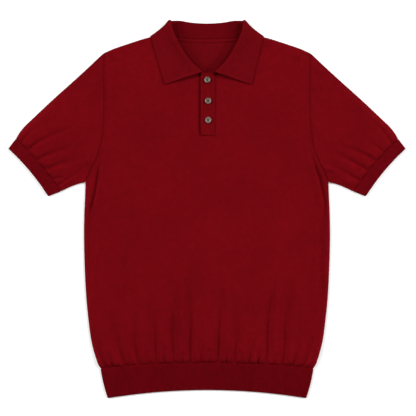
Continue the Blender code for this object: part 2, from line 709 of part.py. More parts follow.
def rib_band(name, surface, ribs, flip):
    """A flattened tube with ribs raised on its upper side."""
    rib_shares = [0.0]
    for rib in range(ribs):
        rib_shares += [(rib + step) / ribs for step in (*RIB_FLANKS, 1)]
    rib_shares = np.array(rib_shares)
    raised = np.array([0.0] + [RIB_HEIGHT, RIB_HEIGHT, 0.0] * ribs)
    low_shares = np.array(BAND_COLUMNS)
    points, faces, ends = [], [], []
    for inset in (0.0, RIB_KNIT):
        previous = None
        for along in (0.0, 0.5, 1.0):
            width = length_of(surface(np.linspace(0, 1, 30), along))
            stations = ring(width, inset, low_shares if inset else rib_shares, low_shares)
            z = stations[:, 1].copy()
            if not inset:
                z[: len(raised)] += raised
            spots = surface(stations[:, 0] / width, along) * (flip, 1)
            row = list(range(len(points), len(points) + len(spots)))
            points += np.column_stack([spots, z]).tolist()
            row = row + row[:1]
            keys = ring_keys(stations, width)
            if previous:
                between = strip(previous[0], row)
                faces += [face[::-1] for face in between] if inset else between
            if previous is None or along == 1.0:
                ends.append((row, keys))
            previous = (row, keys)
    start_out, end_out, start_in, end_in = ends
    faces += [face[::-1] for face in strip(start_out[0], start_in[0], start_out[1], start_in[1])]
    faces += strip(end_out[0], end_in[0], end_out[1], end_in[1])
    if flip > 0:
        faces = [face[::-1] for face in faces]
    return place(name, points, faces, RIB_CLOTH)


def make_bands():
    hem_left, hem_right = mirrored([HEM_CORNER])[0], np.array(HEM_CORNER)

    def hem(across, along):
        across = np.asarray(across, float)
        x_seam = (2 * across - 1) * HEM_SEAM_SIDE[0]
        seam = np.column_stack([x_seam, hem_seam_y(x_seam) - GAP])
        x_edge = hem_left[0] + across * (hem_right[0] - hem_left[0])
        y_edge = HEM_MIDDLE_Y + (HEM_CORNER[1] - HEM_MIDDLE_Y) * (2 * across - 1) ** 2
        edge = np.column_stack([x_edge, y_edge])
        belly = HEM_BELLY * (2 * across - 1) * 4 * along * (1 - along)
        return seam + (edge - seam) * along + np.column_stack([belly, np.zeros_like(belly)])

    seam = aside(cuff_seam(), GAP)
    edge = bowed(CUFF_LOW, CUFF_TIP, CUFF_SEAM_BOW)

    def cuff(across, along):
        return seam(across) * (1 - along) + edge(across) * along

    rib_band("hem_rib", hem, HEM_RIBS, 1)
    rib_band("cuff_left", cuff, CUFF_RIBS, 1)
    rib_band("cuff_right", cuff, CUFF_RIBS, -1)


# ---------------------------------------------------------------- collar


def collar_stations():
    """Each station's neck seam, fold and edge in the middle of the wall, its lean, turn and pull."""
    stations = []
    for seam_x, seam_y, fold_x, fold_y, fold_z, edge_x, edge_y, lean, pull in COLLAR_FRONT:
        seam = (seam_x, seam_y, front_height(seam_x, seam_y) - KNIT / 2)
        edge = (edge_x, edge_y, front_height(edge_x, edge_y) + FALL_CLEAR + COLLAR_KNIT / 2)
        stations.append((seam, (fold_x, fold_y, fold_z), edge, lean, 0.0, pull))
    side_edge = COLLAR_SIDE["edge"]
    front_z = {
        "seam": front_height(*COLLAR_SIDE["seam"]) - KNIT / 2,
        "fold": COLLAR_SIDE_FOLD_Z,
        "edge": front_height(*side_edge) + FALL_CLEAR + COLLAR_KNIT / 2,
    }
    reach = {"seam": COLLAR_KNIT / 2, "fold": FOLD_HALF + COLLAR_KNIT / 2, "edge": COLLAR_KNIT / 2}
    middle_lean = math.radians(sum(TURN_LEAN) / 2)
    outwards = np.array([math.cos(middle_lean), math.sin(middle_lean)])
    for step in range(TURN_STEPS + 1):
        turn = math.pi * step / TURN_STEPS
        lean = TURN_LEAN[0] + (TURN_LEAN[1] - TURN_LEAN[0]) * step / TURN_STEPS
        corners = []
        for key in ("seam", "fold", "edge"):
            radius = (front_z[key] - COLLAR_BACK_Z[key]) / 2
            axis = np.array(COLLAR_SIDE[key]) - outwards * (radius + reach[key])
            spot = axis + outwards * radius * math.sin(turn)
            corners.append((*spot, COLLAR_BACK_Z[key] + radius * (1 + math.cos(turn))))
        stations.append((*corners, lean, turn, 0.0))
    for seam_x, seam_y, fold_x, fold_y, edge_x, edge_y, lean in COLLAR_BACK:
        seam = (seam_x, seam_y, COLLAR_BACK_Z["seam"])
        fold = (fold_x, fold_y, COLLAR_BACK_Z["fold"])
        stations.append((seam, fold, (edge_x, edge_y, COLLAR_BACK_Z["edge"]), lean, math.pi, 0.0))
    return stations


def collar_section(station, flip):
    """Points of the middle of the wall from neck seam to outer edge, and the way to its face side."""
    seam, fold, edge, lean, turn, pull = station
    lean = math.radians(lean)
    up = np.array([-math.sin(lean), math.cos(lean), 0.0])
    out = np.array([math.cos(lean) * math.sin(turn), math.sin(lean) * math.sin(turn), math.cos(turn)])
    centre = np.array(fold) - up * (FOLD_HALF + COLLAR_KNIT / 2)
    stand_top = centre - out * FOLD_HALF
    fall_top = centre + out * FOLD_HALF
    seam, edge = np.array(seam), np.array(edge)
    camber = FALL_CAMBER * (1 + math.cos(turn)) / 2
    points = [(seam, -out), ((seam + stand_top) / 2, -out), (stand_top, -out)]
    for angle in (45, 90, 135):
        way = up * math.sin(math.radians(angle)) - out * math.cos(math.radians(angle))
        points.append((centre + way * FOLD_HALF, way))
    for share in (0.0, 0.25, 0.5, 0.75, 1.0):
        bulge = out * camber * math.sin(math.pi * share)
        points.append((fall_top + (edge - fall_top) * share + bulge, out))
    turned = np.array([flip, 1, 1])
    pulls = [pull * SEAM_PULL, pull * (1 + SEAM_PULL) / 2] + [pull] * 4
    pulls += [pull * (1 + (EDGE_PULL - 1) * share) for share in (0.0, 0.25, 0.5, 0.75, 1.0)]
    return [(point * turned + (pulled, 0, 0), way * turned) for (point, way), pulled in zip(points, pulls)]


def make_collar():
    half = collar_stations()
    sections = [collar_section(station, 1) for station in half]
    sections += [collar_section(station, -1) for station in half[-2::-1]]
    cloth = Cloth()
    previous = None
    for section in sections:
        face = [point + way * COLLAR_KNIT / 2 for point, way in section]
        back = [point - way * COLLAR_KNIT / 2 for point, way in section]
        row = cloth.row(face, back)
        if previous:
            cloth.join(previous, row)
        previous = row
    return cloth.finish("collar", CLOTH)


# ---------------------------------------------------------------- placket and buttons


def make_placket():
    upper = Cloth()
    previous = None
    edge_width, edge_drop = BAND_ROUND
    ridge_x, ridge_half_width, ridge_height = STITCH_RIDGE
    columns = [
        # x, height above the band's flat
        (PLACKET_LEFT, -edge_drop),
        (PLACKET_LEFT + edge_width, 0),
        (ridge_x - ridge_half_width, 0),
        (ridge_x, ridge_height),
        (ridge_x + ridge_half_width, 0),
        (PLACKET_RIGHT - edge_width, 0),
        (PLACKET_RIGHT, -edge_drop),
    ]
    x, raised = np.array(columns).T
    for y in (PLACKET_BOTTOM, PLACKET_BOTTOM + edge_width, *PLACKET_ROWS, PLACKET_TOP):
        base = np.max(front_height(x, np.full_like(x, y))) + GAP
        low = np.column_stack([x, np.full_like(x, y), np.full_like(x, base)])
        high = low + np.column_stack([np.zeros((len(x), 2)), BAND_KNIT + raised])
        row = upper.row(high, low)
        if previous:
            upper.join(previous, row)
        previous = row
    upper.finish("placket_upper", CLOTH)

    under = Cloth()
    x = np.array([SLIT_LEFT + GAP, SLIT_RIGHT - GAP])
    rows = []
    for y in (PLACKET_BOTTOM + GAP, UNDER_BAND_TOP):
        high = np.column_stack([x, [y, y], [TUBE_HEIGHT, TUBE_HEIGHT]])
        rows.append(under.row(high, high - (0, 0, KNIT)))
    under.join(*rows)
    under.finish("placket_under", CLOTH)


def make_buttons():
    profile = np.array(BUTTON_PROFILE)
    base = TUBE_HEIGHT + GAP + BAND_KNIT + GAP
    for number, (x, y) in enumerate(BUTTONS, start=1):
        points, faces = [], []
        for radius, z in profile:
            for side in range(BUTTON_SIDES):
                angle = 2 * math.pi * side / BUTTON_SIDES
                points.append((x + radius * math.cos(angle), y + radius * math.sin(angle), base + z))
        for level in range(len(profile) - 1):
            for side in range(BUTTON_SIDES):
                a = level * BUTTON_SIDES + side
                b = level * BUTTON_SIDES + (side + 1) % BUTTON_SIDES
                faces.append((a, b, b + BUTTON_SIDES, a + BUTTON_SIDES))
        faces.append(tuple(range(BUTTON_SIDES - 1, -1, -1)))
        faces.append(tuple(range(len(points) - BUTTON_SIDES, len(points))))
        place(f"button_{number}", points, faces, HORN)


def main():
    for old in list(bpy.data.objects):
        bpy.data.objects.remove(old)
    make_front()
    make_back()
    make_sleeve("left", 1)
    make_sleeve("right", -1)
    make_bands()
    make_collar()
    make_placket()
    make_buttons()


main()
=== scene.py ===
"""A short-sleeved polo shirt in fine knit cotton, laid flat on its back on a pale floor.

Tables and sizes are in millimetres until a mesh is placed. +X is the wearer's left, +Y runs towards the neck
and +Z is up, as in the part that this dresses.
"""

import math
from functools import partial

import bpy
import numpy as np
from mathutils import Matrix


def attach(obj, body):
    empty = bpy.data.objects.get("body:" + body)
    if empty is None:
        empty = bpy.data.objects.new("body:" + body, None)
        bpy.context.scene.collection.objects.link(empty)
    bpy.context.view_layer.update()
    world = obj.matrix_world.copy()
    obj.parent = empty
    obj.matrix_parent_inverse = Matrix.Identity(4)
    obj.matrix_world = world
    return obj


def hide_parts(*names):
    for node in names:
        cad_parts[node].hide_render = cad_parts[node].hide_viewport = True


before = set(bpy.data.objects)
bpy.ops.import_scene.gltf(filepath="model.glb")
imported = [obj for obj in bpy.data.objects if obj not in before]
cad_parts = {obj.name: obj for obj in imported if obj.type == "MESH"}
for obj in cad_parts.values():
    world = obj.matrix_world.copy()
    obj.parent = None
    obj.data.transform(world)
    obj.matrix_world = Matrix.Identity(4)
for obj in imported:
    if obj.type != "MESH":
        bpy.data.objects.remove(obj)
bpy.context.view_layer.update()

MM = 0.001
OUTLINE_MIDDLE_Y = 0.02  # middle of the outline, in the tables' own y
GAP = 0.3  # between two pieces that are sewn together

# Walls of cloth, and how they lie
KNIT = 1.2
RIB_KNIT = 1.5
COLLAR_KNIT = 1.6
TUBE_HEIGHT = 3.9  # of body, sleeves and bands, laid flat
FOLD_RADIUS = 1.8  # of a panel's folded side, so that front and back meet GAP apart
NECK_LIFT = 2.3  # both panels lie this much higher near the neck, on the collar's back fall
NECK_LIFT_START = 30.0  # they start to rise this far before the fall's edge
NECK_LIFT_RUN = 24.0  # and have risen after this much more
LOWEST_FRONT = 2 * KNIT + GAP  # outer height of a front that touches the back
FOLD_TURNS = (1.0, math.sqrt(0.5), 0.0)  # cosines of a folded side's angle, from its edge to the flat

# The right half of the outline, from the wearer's left side, mirrored for the other
HEM_SEAM_MIDDLE_Y = -307.6
HEM_SEAM_SIDE = (213.0, -318.0)
HEM_MIDDLE_Y = -361.5
HEM_CORNER = (198.5, -377.8)
UNDERARM = (243.0, 53.4)
SHOULDER_TIP = (206.5, 311.5)
NECK_POINT = (88.6, 349.4)
SIDE_SEAM = [
    HEM_SEAM_SIDE, (218, -310), (221.5, -300), (227, -282), (231.5, -262), (237, -222), (241, -182),
    (243.5, -142), (245, -102), (246, -52), (245, 0), (243.6, 30), UNDERARM,
]
ARMHOLE = [
    UNDERARM, (232, 78), (221.5, 100), (212, 132), (207.5, 168), (206, 218), (206.5, 268), SHOULDER_TIP,
]
SHOULDER = [NECK_POINT, (112, 343.5), (133, 338), (158, 330), (184, 321), SHOULDER_TIP]

# Gathers above the hem rib. Each groove runs up from the seam: where it starts, where it is 74 and 150 mm
# above the seam, then its depth, half width and length
GATHERS = np.array(
    [
        # seam_x, mid_x, high_x, depth, half_width, length
        (-200, -225, -231, 6.4, 6.2, 80),
        (-184, -206, -213, 5.9, 4.8, 30),
        (-160, -187, -194, 6.6, 6.9, 100),
        (-147, -163, -170, 5.2, 4.4, 26),
        (-132, -149, -156, 8.7, 8.5, 220),
        (-114, -124, -131, 5.9, 4.8, 30),
        (-98, -104, -108, 7.8, 7.9, 140),
        (-82, -86, -88, 6.1, 5.0, 38),
        (-64, -68, -70, 7.8, 7.7, 180),
        (-48, -50, -50, 5.2, 4.6, 22),
        (-32, -34, -33, 7.8, 7.7, 170),
        (-11, -13, -12, 6.6, 5.8, 50),
        (4, 6, 8, 5.4, 4.8, 30),
        (21, 26, 30, 7.6, 7.5, 145),
        (37, 43, 44, 5.4, 4.6, 26),
        (53, 59, 61, 7.3, 7.7, 135),
        (67, 73, 76, 5.4, 4.6, 24),
        (82, 90, 93, 6.1, 5.8, 50),
        (99, 107, 112, 5.7, 4.8, 28),
        (114, 123, 131, 7.8, 7.9, 170),
        (132, 141, 148, 5.4, 4.6, 24),
        (147, 155, 166, 8.0, 7.9, 175),
        (168, 192, 202, 6.4, 6.7, 95),
        (188, 217, 225, 6.6, 6.7, 120),
        (203, 228, 233, 5.4, 4.8, 34),
    ],
    float,
)
SEAM_X, MID_X, HIGH_X, DEPTH, HALF_WIDTH, LENGTH = GATHERS.T
MID_RISE = 74.0
HIGH_RISE = 150.0
GATHER_PUFF = 9.4  # how far the gathered cloth swells above the rib
PUFF_START = 4.5  # within about this rise
PUFF_FADE = 95.0  # and sinks again over this one
GROOVE_AT_SEAM = 0.3  # share of a groove's depth that it has right at its seam, here and on the sleeves

# The folds that run down the front from the underarms and beside its sides: the places they pass, from the
# top, their depth and half width, and the height and half width of the cloth that stands up on both sides
LONG_FOLDS = [
    ([(-212, 104), (-216.6, 86), (-220.2, 58), (-225.2, 28), (-232, 4), (-236, -24)], 8.4, 4.4, 6.2, 11.5),
    ([(209, 110), (214.8, 92), (226, 62), (231, 38), (236, 12), (238, -30)], 10.6, 4.6, 6.2, 11.5),
    ([(-228, 40), (-230, -2), (-231, -60), (-232, -150)], 4.6, 8.0, 4.0, 20.0),
    ([(236, 30), (233, -32), (229, -62), (228, -120), (229, -180), (219, -240)], 6.6, 8.0, 5.4, 20.0),
]
# Where a fold starts and how soon it is deep, where it ends and how soon it is flat, as shares of its run
LONG_FOLD_ENDS = (-0.02, 0.3, 1.05, 0.45)
EDGE_FADE = 8.0  # the cloth lies down again this near to a panel's side

BACK_NECK_GAP = 0.6  # between the back's neck edge and the collar's seam
NECK_MEETING = 0.46  # share of a panel's top edge that the neckline takes, before the shoulder

# Sleeve: its edges past the armhole, and the cuff
SLEEVE_TOP = [(238, 282), (263, 259), (307, 219.5), (350, 179), (366, 163.5), (377, 149), (381.6, 140.8)]
SLEEVE_UNDER = [(259, 49.5), (279, 41.5), (291, 35.6)]
CUFF_SEAM_BOW = 4.0  # how far the cuff's edges curve in from straight
CUFF_LOW = (317.0, 25.4)
CUFF_TIP = (397.0, 121.0)
# Gathers beside each cuff: where along the cuff seam each groove starts, 0 at the underside and 1 at the
# top, where along the sleeve's width it ends, how far in it runs as a share of the sleeve, its depth and
# its half width
SLEEVE_GATHERS = {
    "right": [
        # seam, inner, reach, depth, half_width
        (0.895, 0.880, 0.22, 3.0, 0.026),
        (0.750, 0.610, 0.55, 5.4, 0.033),
        (0.550, 0.415, 0.52, 5.4, 0.033),
        (0.365, 0.260, 0.66, 5.6, 0.035),
        (0.205, 0.135, 0.30, 4.0, 0.026),
        (0.075, 0.150, 0.92, 3.4, 0.028),
    ],
    "left": [
        (0.870, 0.905, 0.30, 3.0, 0.026),
        (0.695, 0.675, 0.20, 4.0, 0.026),
        (0.530, 0.425, 0.54, 5.4, 0.033),
        (0.355, 0.325, 0.64, 5.4, 0.033),
        (0.165, 0.180, 0.86, 4.0, 0.032),
    ],
}
SLEEVE_PUFF = 4.3  # how far the sleeve swells before its cuff, and where, as shares of its length and width
SLEEVE_PUFF_FROM = 0.1
SLEEVE_PUFF_RISE = 0.75
SLEEVE_PUFF_START = 3.5  # within about this many millimetres of the cuff
SLEEVE_PUFF_EDGE = 0.08

# Ribs raised on the bands
RIB_HEIGHT = 0.45
HEM_RIBS = 96
CUFF_RIBS = 28
HEM_BELLY = 1.5  # how far the hem rib's ends bulge past straight

# Placket
PLACKET_LEFT = -12.2
PLACKET_RIGHT = 15.0
PLACKET_BOTTOM = 147.0
PLACKET_TOP = 272.0
SLIT_LEFT = -10.4
SLIT_RIGHT = 14.0
SLIT_TOP_DROP = 0.7  # how far the slit's edges end below the neckline
UNDER_BAND_TOP = 265.0
BAND_KNIT = 1.6
BAND_ROUND = (0.8, 0.3)  # width and drop of the band's rounded edges
STITCH_RIDGE = (10.6, 0.8, 0.8)  # middle, half width and height of the ridge along the topstitching

# The middle of each button, from the top down
BUTTONS = [(0.6, 257.6), (2.2, 215.8), (2.4, 177.4)]

# Collar. Each row is a section of its right half: the neck seam, the top of the fold, the outer edge, the
# way the fold leans from straight up the shirt, in degrees, and how far both halves are pulled to the
# wearer's left
FOLD_HALF = 1.05  # half the distance between stand and fall at the fold
COLLAR_FRONT = [
    # seam_x, seam_y, fold_x, fold_y, fold_z, edge_x, edge_y, lean, pull
    (13.6, 266.8, 12.6, 273.4, 11.6, 86.9, 248.0, 47, 3.0),
    (31.2, 278.2, 29.6, 289.0, 13.2, 91.2, 264.0, 55, 2.9),
    (54.5, 297.2, 46.6, 311.0, 14.0, 97.2, 286.5, 60, 1.8),
    (71.8, 317.3, 60.5, 336.0, 14.6, 103.4, 311.0, 62, 1.3),
    (82.5, 335.2, 69.2, 358.0, 14.4, 109.0, 331.5, 66, 0.9),
]
SEAM_PULL = 0.57  # share of the pull that the neck seam takes
EDGE_PULL = 0.62  # and the outer edge
COLLAR_BACK = [
    # seam_x, seam_y, fold_x, fold_y, edge_x, edge_y, lean
    (70.0, 343.6, 57.0, 376.6, 84.0, 329.8, 9),
    (45.0, 339.6, 35.0, 373.2, 56.0, 318.3, 8),
    (22.0, 338.4, 16.0, 371.4, 28.0, 311.3, 4),
    (0.0, 338.2, 0.0, 370.9, 0.0, 309.0, 0),
]
COLLAR_SIDE = {"seam": (88.0, 351.0), "fold": (76.8, 374.6), "edge": (114.0, 344.6)}
COLLAR_SIDE_FOLD_Z = 13.4
TURN_REACH = 2.6  # how far the turn over the shoulder bulges, seen from above
COLLAR_BACK_Z = {"seam": 2.9, "fold": 1.85, "edge": 0.8}  # middle of the wall
TURN_STEPS = 4  # sections round the side of the neck, from the front to the back
TURN_LEAN = (58.0, 12.0)  # degrees, at the first and the last of them
TURN_WAY = {"seam": 37.0, "fold": -25.0, "edge": 37.0}  # degrees, the way the turn bulges
FALL_SAG = 3.4  # how far the fall sinks between its fold and its edge, and where, by the share of its width
FALL_SINKS = {0.0: 0.0, 0.25: 0.9, 0.5: 1.0, 0.75: 0.55, 1.0: 0.0}
FALL_CLEAR = 0.3  # between the fall's edge and the front under it

# ---------------------------------------------------------------- sizes of the finer cloth

WALE = 1.7  # width of one column of stitches
COURSE = 1.25  # height of one row of stitches

# Seams: the panel sinks towards its seam, with a soft ridge beside it
SEAM_DIP = 1.6
SEAM_DIP_LOW = 0.35  # share of the dip beside the underarm
SEAM_DIP_RISE = (90.0, 60.0)  # the y from which it deepens, and over how much
SEAM_REACH = 2.0
SEAM_RIDGE = (4.8, 2.6, 1.3)  # distance from the armhole, half width and height

# What is sewn under a panel's edge pinches in before the seam and tucks under it: distance past the seam, how
# far the tube is pinched in, and its wall there
TUCK_ROWS = [
    # past_seam, pinch, wall
    (-2.2, 1.30, 0.50),
    (-1.0, 1.30, 0.50),
    (0.0, 1.15, 0.55),
    (0.5, 0.80, 0.75),
    (1.2, 0.42, 1.00),
    (2.2, 0.15, 1.15),
]

# Soft folds of the front besides the gathers: troughs, or ridges where the depth is below zero
SOFT_FOLDS = [
    # top_x, top_y, foot_x, foot_y, depth, half_width
    (-13.2, 285, -13.2, 136, 1.3, 1.9),
    (-208, 312, -182, 288, 3.2, 4.6),
    (-196, 322, -168, 296, -2.4, 8.0),
    (206, 313, 182, 291, 2.8, 4.6),
    (194, 323, 168, 298, -2.0, 8.0),
    (200, 262, 202, 216, 1.4, 3.2),
    (84, -110, 84, -272, 3.0, 15.0),
    (-84, -120, -82, -272, 2.4, 10.0),
    (-4, -140, -4, -272, 3.0, 14.0),
    (-50, -108, -48, -282, -3.6, 9.5),
    (43, -130, 39, -284, -3.4, 9.5),
    (143, -130, 132, -284, -3.4, 9.5),
    (-132, -140, -119, -284, -3.0, 9.5),
    (110, -60, 106, -170, 0.60, 12.0),
    (-172, -150, -160, -276, 2.2, 12.0),
    (178, -120, 180, -250, -2.6, 11.0),
    (-190, -130, -186, -250, -2.2, 11.0),
]
SOFT_FOLD_ENDS = (-0.1, 0.45, 1.1, 0.45)

# Small puckers between the gathers: spacing, depth, half width and length, each from and to
HEM_PUCKERS = {"spacing": (7.0, 12.0), "depth": (0.8, 2.4), "half_width": (1.9, 2.8), "length": (12.0, 34.0)}
CUFF_PUCKERS = {"spacing": (5.5, 10.0), "depth": (0.5, 1.2), "half_width": (1.4, 2.3), "length": (7.0, 22.0)}
PUCKER_START = 2.5  # how soon a pucker is at its deepest, past its seam
PUCKER_FADE = 0.45  # how soon it fades again, as a share of its length
PUCKER_SPREAD = 25.0  # this far from its seam it is twice as wide

# How finely the cloth is drawn
FRONT_COLUMNS = 280
NECK_COLUMNS = 58
SHOULDER_COLUMNS = 50
UPPER_ROWS = 52
ARC_STEPS = 5
RIB_COLUMNS = 8  # points across each rib
BACK_NECK_COLUMNS = 26
BACK_SHOULDER_COLUMNS = 32
SLEEVE_COLUMNS = (150, 40)  # over its upper side and its underside

BACK_GATHER_SHARE = 0.28  # of the front's gathers, the other way round, and the most the underside rises
BACK_GATHER_MOST = 0.7
CUFF_WIDTH = 138.0
BAND_ROLL = (3.0, 0.35)  # how far in from a band's free edge it starts to roll down, and how deep

# Small troughs across each sleeve, or ridges, as shares of its width and length
SLEEVE_FOLDS = {
    "right": [
        # top_x, top_y, foot_x, foot_y, depth, half_width
        (0.96, 0.075, 0.70, 0.085, 1.1, 0.018),
        (0.96, 0.035, 0.66, 0.045, -1.0, 0.020),
        (0.13, 0.02, 0.24, 0.30, -1.8, 0.022),
        (0.33, 0.55, 0.31, 0.97, -0.5, 0.040),
        (0.72, 0.40, 0.71, 0.90, -0.6, 0.045),
        (0.12, 0.30, 0.10, 0.90, -0.6, 0.045),
    ],
    "left": [
        (0.97, 0.085, 0.76, 0.080, 1.0, 0.020),
        (0.96, 0.040, 0.70, 0.040, -0.8, 0.020),
        (0.10, 0.02, 0.16, 0.36, -2.2, 0.024),
        (0.86, 0.72, 0.84, 0.98, 0.6, 0.026),
        (0.33, 0.60, 0.31, 0.97, 0.7, 0.028),
        (0.12, 0.30, 0.10, 0.90, -0.5, 0.045),
    ],
}

# Collar and placket edges: distance from the edge, half width and height of each soft ridge
COLLAR_RIM = (2.2, 1.3, 0.55)
COLLAR_HOLLOW = (5.2, 1.4, -0.275)  # beside the rim
NECK_RIDGE = (2.0, 1.0, 0.42)
BAND_WELT = (2.2, 1.0, 0.4)
BAND_CURL = (1.3, 4.0)  # how far the band's open edge stands off the front, and how soon it lies down
BAND_RIBS = 13
BAND_RIB_HEIGHT = 0.42
NECK_TAPE = (7.4, 1.0, 1.4)  # its width, its thickness and how softly its edge ends
TAPE_DIP = (8.6, 0.9, -0.35)  # the back sinks beside its tape
BUTTON_DENT = (7.5, 0.18)  # the band sinks under each button: how wide and how deep

# Button: its turned profile, its holes and the thread in them
BUTTON_SHANK = 1.1  # how far the button stands off its band
BUTTON_TURNING = [
    # radius, height
    (3.4, 0.0), (4.9, 0.18), (5.8, 0.75), (6.1, 1.35), (6.05, 1.8), (5.75, 2.25), (5.25, 2.45), (4.75, 2.42),
    (4.3, 2.1), (4.0, 1.6), (3.6, 1.2), (2.0, 1.1),
]
HOLE_APART = 2.5
HOLE_RADIUS = 0.72
THREAD_RADIUS = 0.3

BUTTONHOLE = 14.5  # length
RIB_ROUNDNESS = 0.65  # how full a rib's section is: 1 is a plain wave
# How far inside the buttonhole band's open side its ribs start, the x they end at, and how far over its foot
BAND_RIB_ENDS = (3.0, 9.4, 2.5)
COLLAR_STEP = 3.2  # about how far apart the collar's points are along it
COLLAR_ROUND = 0.8  # how far in from its edges the collar's wall is rounded

# Stitches: how far apart, how long and wide, and their turn from the line in degrees
LINK_STITCH = (2.3, 2.3, 0.75, 32)
TOP_STITCH = (2.6, 2.0, 0.6, 0)
BUTTONHOLE_STITCH = (0.55, 0.5, 1.5, 0)

# Colours, linear
BODY_RED = (0.168, 0.0024, 0.0055)
# the knit's duller reverse side, made darker still as painted shade for the sunk inside of the neck
REVERSE_AND_SHADE_RED = (0.141, 0.0024, 0.0050)
RIB_RED = (0.121, 0.0014, 0.0040)
CUFF_RED = (0.136, 0.0018, 0.0048)
COLLAR_RED = (0.155, 0.0026, 0.0056)
# painted shade: the collar's stand is darker for its slope away from the light
STAND_PAINTED_SHADE_RED = (0.130, 0.0018, 0.0046)
THREAD_RED = (0.165, 0.0026, 0.0056)
DARK_THREAD_RED = (0.080, 0.0020, 0.0035)
HORN_DARK = (0.085, 0.058, 0.043)
HORN_LIGHT = (0.215, 0.172, 0.134)

# Knit: its painted shade between the loops and how much painted light the loops get, how deep they lie
# and how strongly that turns the light, and how far the yarn's tone drifts and fuzzes
LOOP_PAINTED_SHADES = (0.78, 0.35)
LOOP_DEPTH = 0.35
LOOP_STRENGTH = 0.8
YARN_DRIFT = 0.34
YARN_FUZZ = 0.6

# Light and camera
SKY_STRENGTH = 0.17
LAMPS = [
    # name, share of the light, tilt from overhead, way it comes from (clockwise from the neck), softness
    ("upper_lamp_right", 0.245, 53.0, 56.0, 14.0),
    ("upper_lamp_left", 0.255, 53.0, -56.0, 14.0),
    ("side_lamp_right", 0.25, 66.0, 84.0, 14.0),
    ("side_lamp_left", 0.23, 66.0, -84.0, 14.0),
]
LAMP_DISTANCE = 6.0  # metres
FLOOR_GLOW = 0.25
FLOOR_REACH = 12.0  # metres, from its middle
CAMERA_PLACE = (0.002, 0.002, 2.0)
CAMERA_LENS = 86.5
CAMERA_SENSOR = 36.0


# ---------------------------------------------------------------- curves


def spline(points, shares=None, steady=False):
    """A smooth curve through the points: a function of the share of its length, 0 to 1. A steady one never
    swings past its points."""
    knots = np.array(points, float)
    shares = knot_shares(points) if shares is None else shares
    slopes = np.gradient(knots, shares, axis=0)
    if steady:
        secants = np.diff(knots, axis=0) / np.diff(shares)[:, None]
        before, after = secants[:-1], secants[1:]
        same_way = before * after > 0
        meeting = 2 * before * after / np.where(same_way, before + after, 1.0)
        slopes[1:-1] = np.where(same_way, meeting, 0.0)

    def at(share):
        share = np.clip(np.atleast_1d(np.asarray(share, float)), 0.0, 1.0)
        i = np.clip(np.searchsorted(shares, share, side="right") - 1, 0, len(shares) - 2)
        span = (shares[i + 1] - shares[i])[:, None]
        t = ((share - shares[i])[:, None]) / span
        return (
            (2 * t**3 - 3 * t**2 + 1) * knots[i]
            + (t**3 - 2 * t**2 + t) * span * slopes[i]
            + (3 * t**2 - 2 * t**3) * knots[i + 1]
            + (t**3 - t**2) * span * slopes[i + 1]
        )

    return at


def knot_shares(points):
    """How far along the line through the points each of them lies, 0 to 1."""
    steps = np.linalg.norm(np.diff(np.array(points, float), axis=0), axis=1)
    return np.concatenate([[0.0], np.cumsum(steps)]) / steps.sum()


def length_of(points):
    """Length of the line through the points."""
    return np.linalg.norm(np.diff(points, axis=0), axis=1).sum()


def chain(first, second, meeting):
    """Two curves end to end: the second starts at this share of the whole."""

    def at(share):
        share = np.atleast_1d(np.asarray(share, float))[:, None]
        early = first(np.clip(share[:, 0] / meeting, 0, 1))
        late = second(np.clip((share[:, 0] - meeting) / (1 - meeting), 0, 1))
        return np.where(share < meeting, early, late)

    return at


def aside(curve, distance):
    """The curve moved to its right by a distance."""

    def at(share):
        share = np.atleast_1d(np.asarray(share, float))
        along = curve(np.minimum(share + 0.004, 1)) - curve(np.maximum(share - 0.004, 0))
        along /= np.linalg.norm(along, axis=1)[:, None]
        return curve(share) + distance * np.stack([along[:, 1], -along[:, 0]], axis=1)

    return at


def patch(low, high, inner, outer):
    """A surface between four edge curves that meet at the corners, as a function of two shares."""
    corner = [low(0), low(1), high(0), high(1)]

    def at(across, up):
        across, up = np.broadcast_arrays(np.atleast_1d(across) + 0.0, np.atleast_1d(up) + 0.0)
        a = across[:, None]
        u = up[:, None]
        ruled_up = (1 - u) * low(across) + u * high(across)
        ruled_across = (1 - a) * inner(up) + a * outer(up)
        corners = (1 - a) * (1 - u) * corner[0] + a * (1 - u) * corner[1]
        corners = corners + (1 - a) * u * corner[2] + a * u * corner[3]
        return ruled_up + ruled_across - corners

    return at


def mirrored(points):
    return np.array(points, float) * (-1, 1)


def path(x, y, z):
    """Points in a line, of rows of values and single ones."""
    return np.column_stack(np.broadcast_arrays(x, y, z))


def smooth_step(share):
    share = np.clip(share, 0, 1)
    return share * share * (3 - 2 * share)


def within(place, start, rise, end, fall):
    """1 between start and end and 0 past them, rising and falling over these lengths."""
    return smooth_step((place - start) / rise) * smooth_step((end - place) / fall)


SAMPLES = np.linspace(0, 1, 200)
SIDE_SAMPLES = spline(SIDE_SEAM)(SAMPLES)
ARMHOLE_CURVE = spline(ARMHOLE)
ARMHOLE_SAMPLES = ARMHOLE_CURVE(SAMPLES)
# The armhole's share that is level with the placket's foot
ARMHOLE_START = float(np.interp(PLACKET_BOTTOM, ARMHOLE_SAMPLES[:, 1], SAMPLES))
EDGE_SAMPLES = np.concatenate([SIDE_SAMPLES, ARMHOLE_SAMPLES[1:]])


def side_x(y):
    """Half the width of the body."""
    return np.interp(y, SIDE_SAMPLES[:, 1], SIDE_SAMPLES[:, 0])


def inside_edge(x, y):
    """How far a place lies inside a body panel's side or armhole."""
    return np.interp(y, EDGE_SAMPLES[:, 1], EDGE_SAMPLES[:, 0]) - np.abs(x)


def hem_seam_y(x):
    return HEM_SEAM_MIDDLE_Y + (HEM_SEAM_SIDE[1] - HEM_SEAM_MIDDLE_Y) * (x / HEM_SEAM_SIDE[0]) ** 2


# ---------------------------------------------------------------- heights of the cloth


def fall_edge_y(x):
    """The outer edge of the collar's back fall, which lies under the back panel."""
    middle = COLLAR_BACK[-1][5]
    return middle + (COLLAR_SIDE["edge"][1] - middle) * (x / COLLAR_SIDE["edge"][0]) ** 2


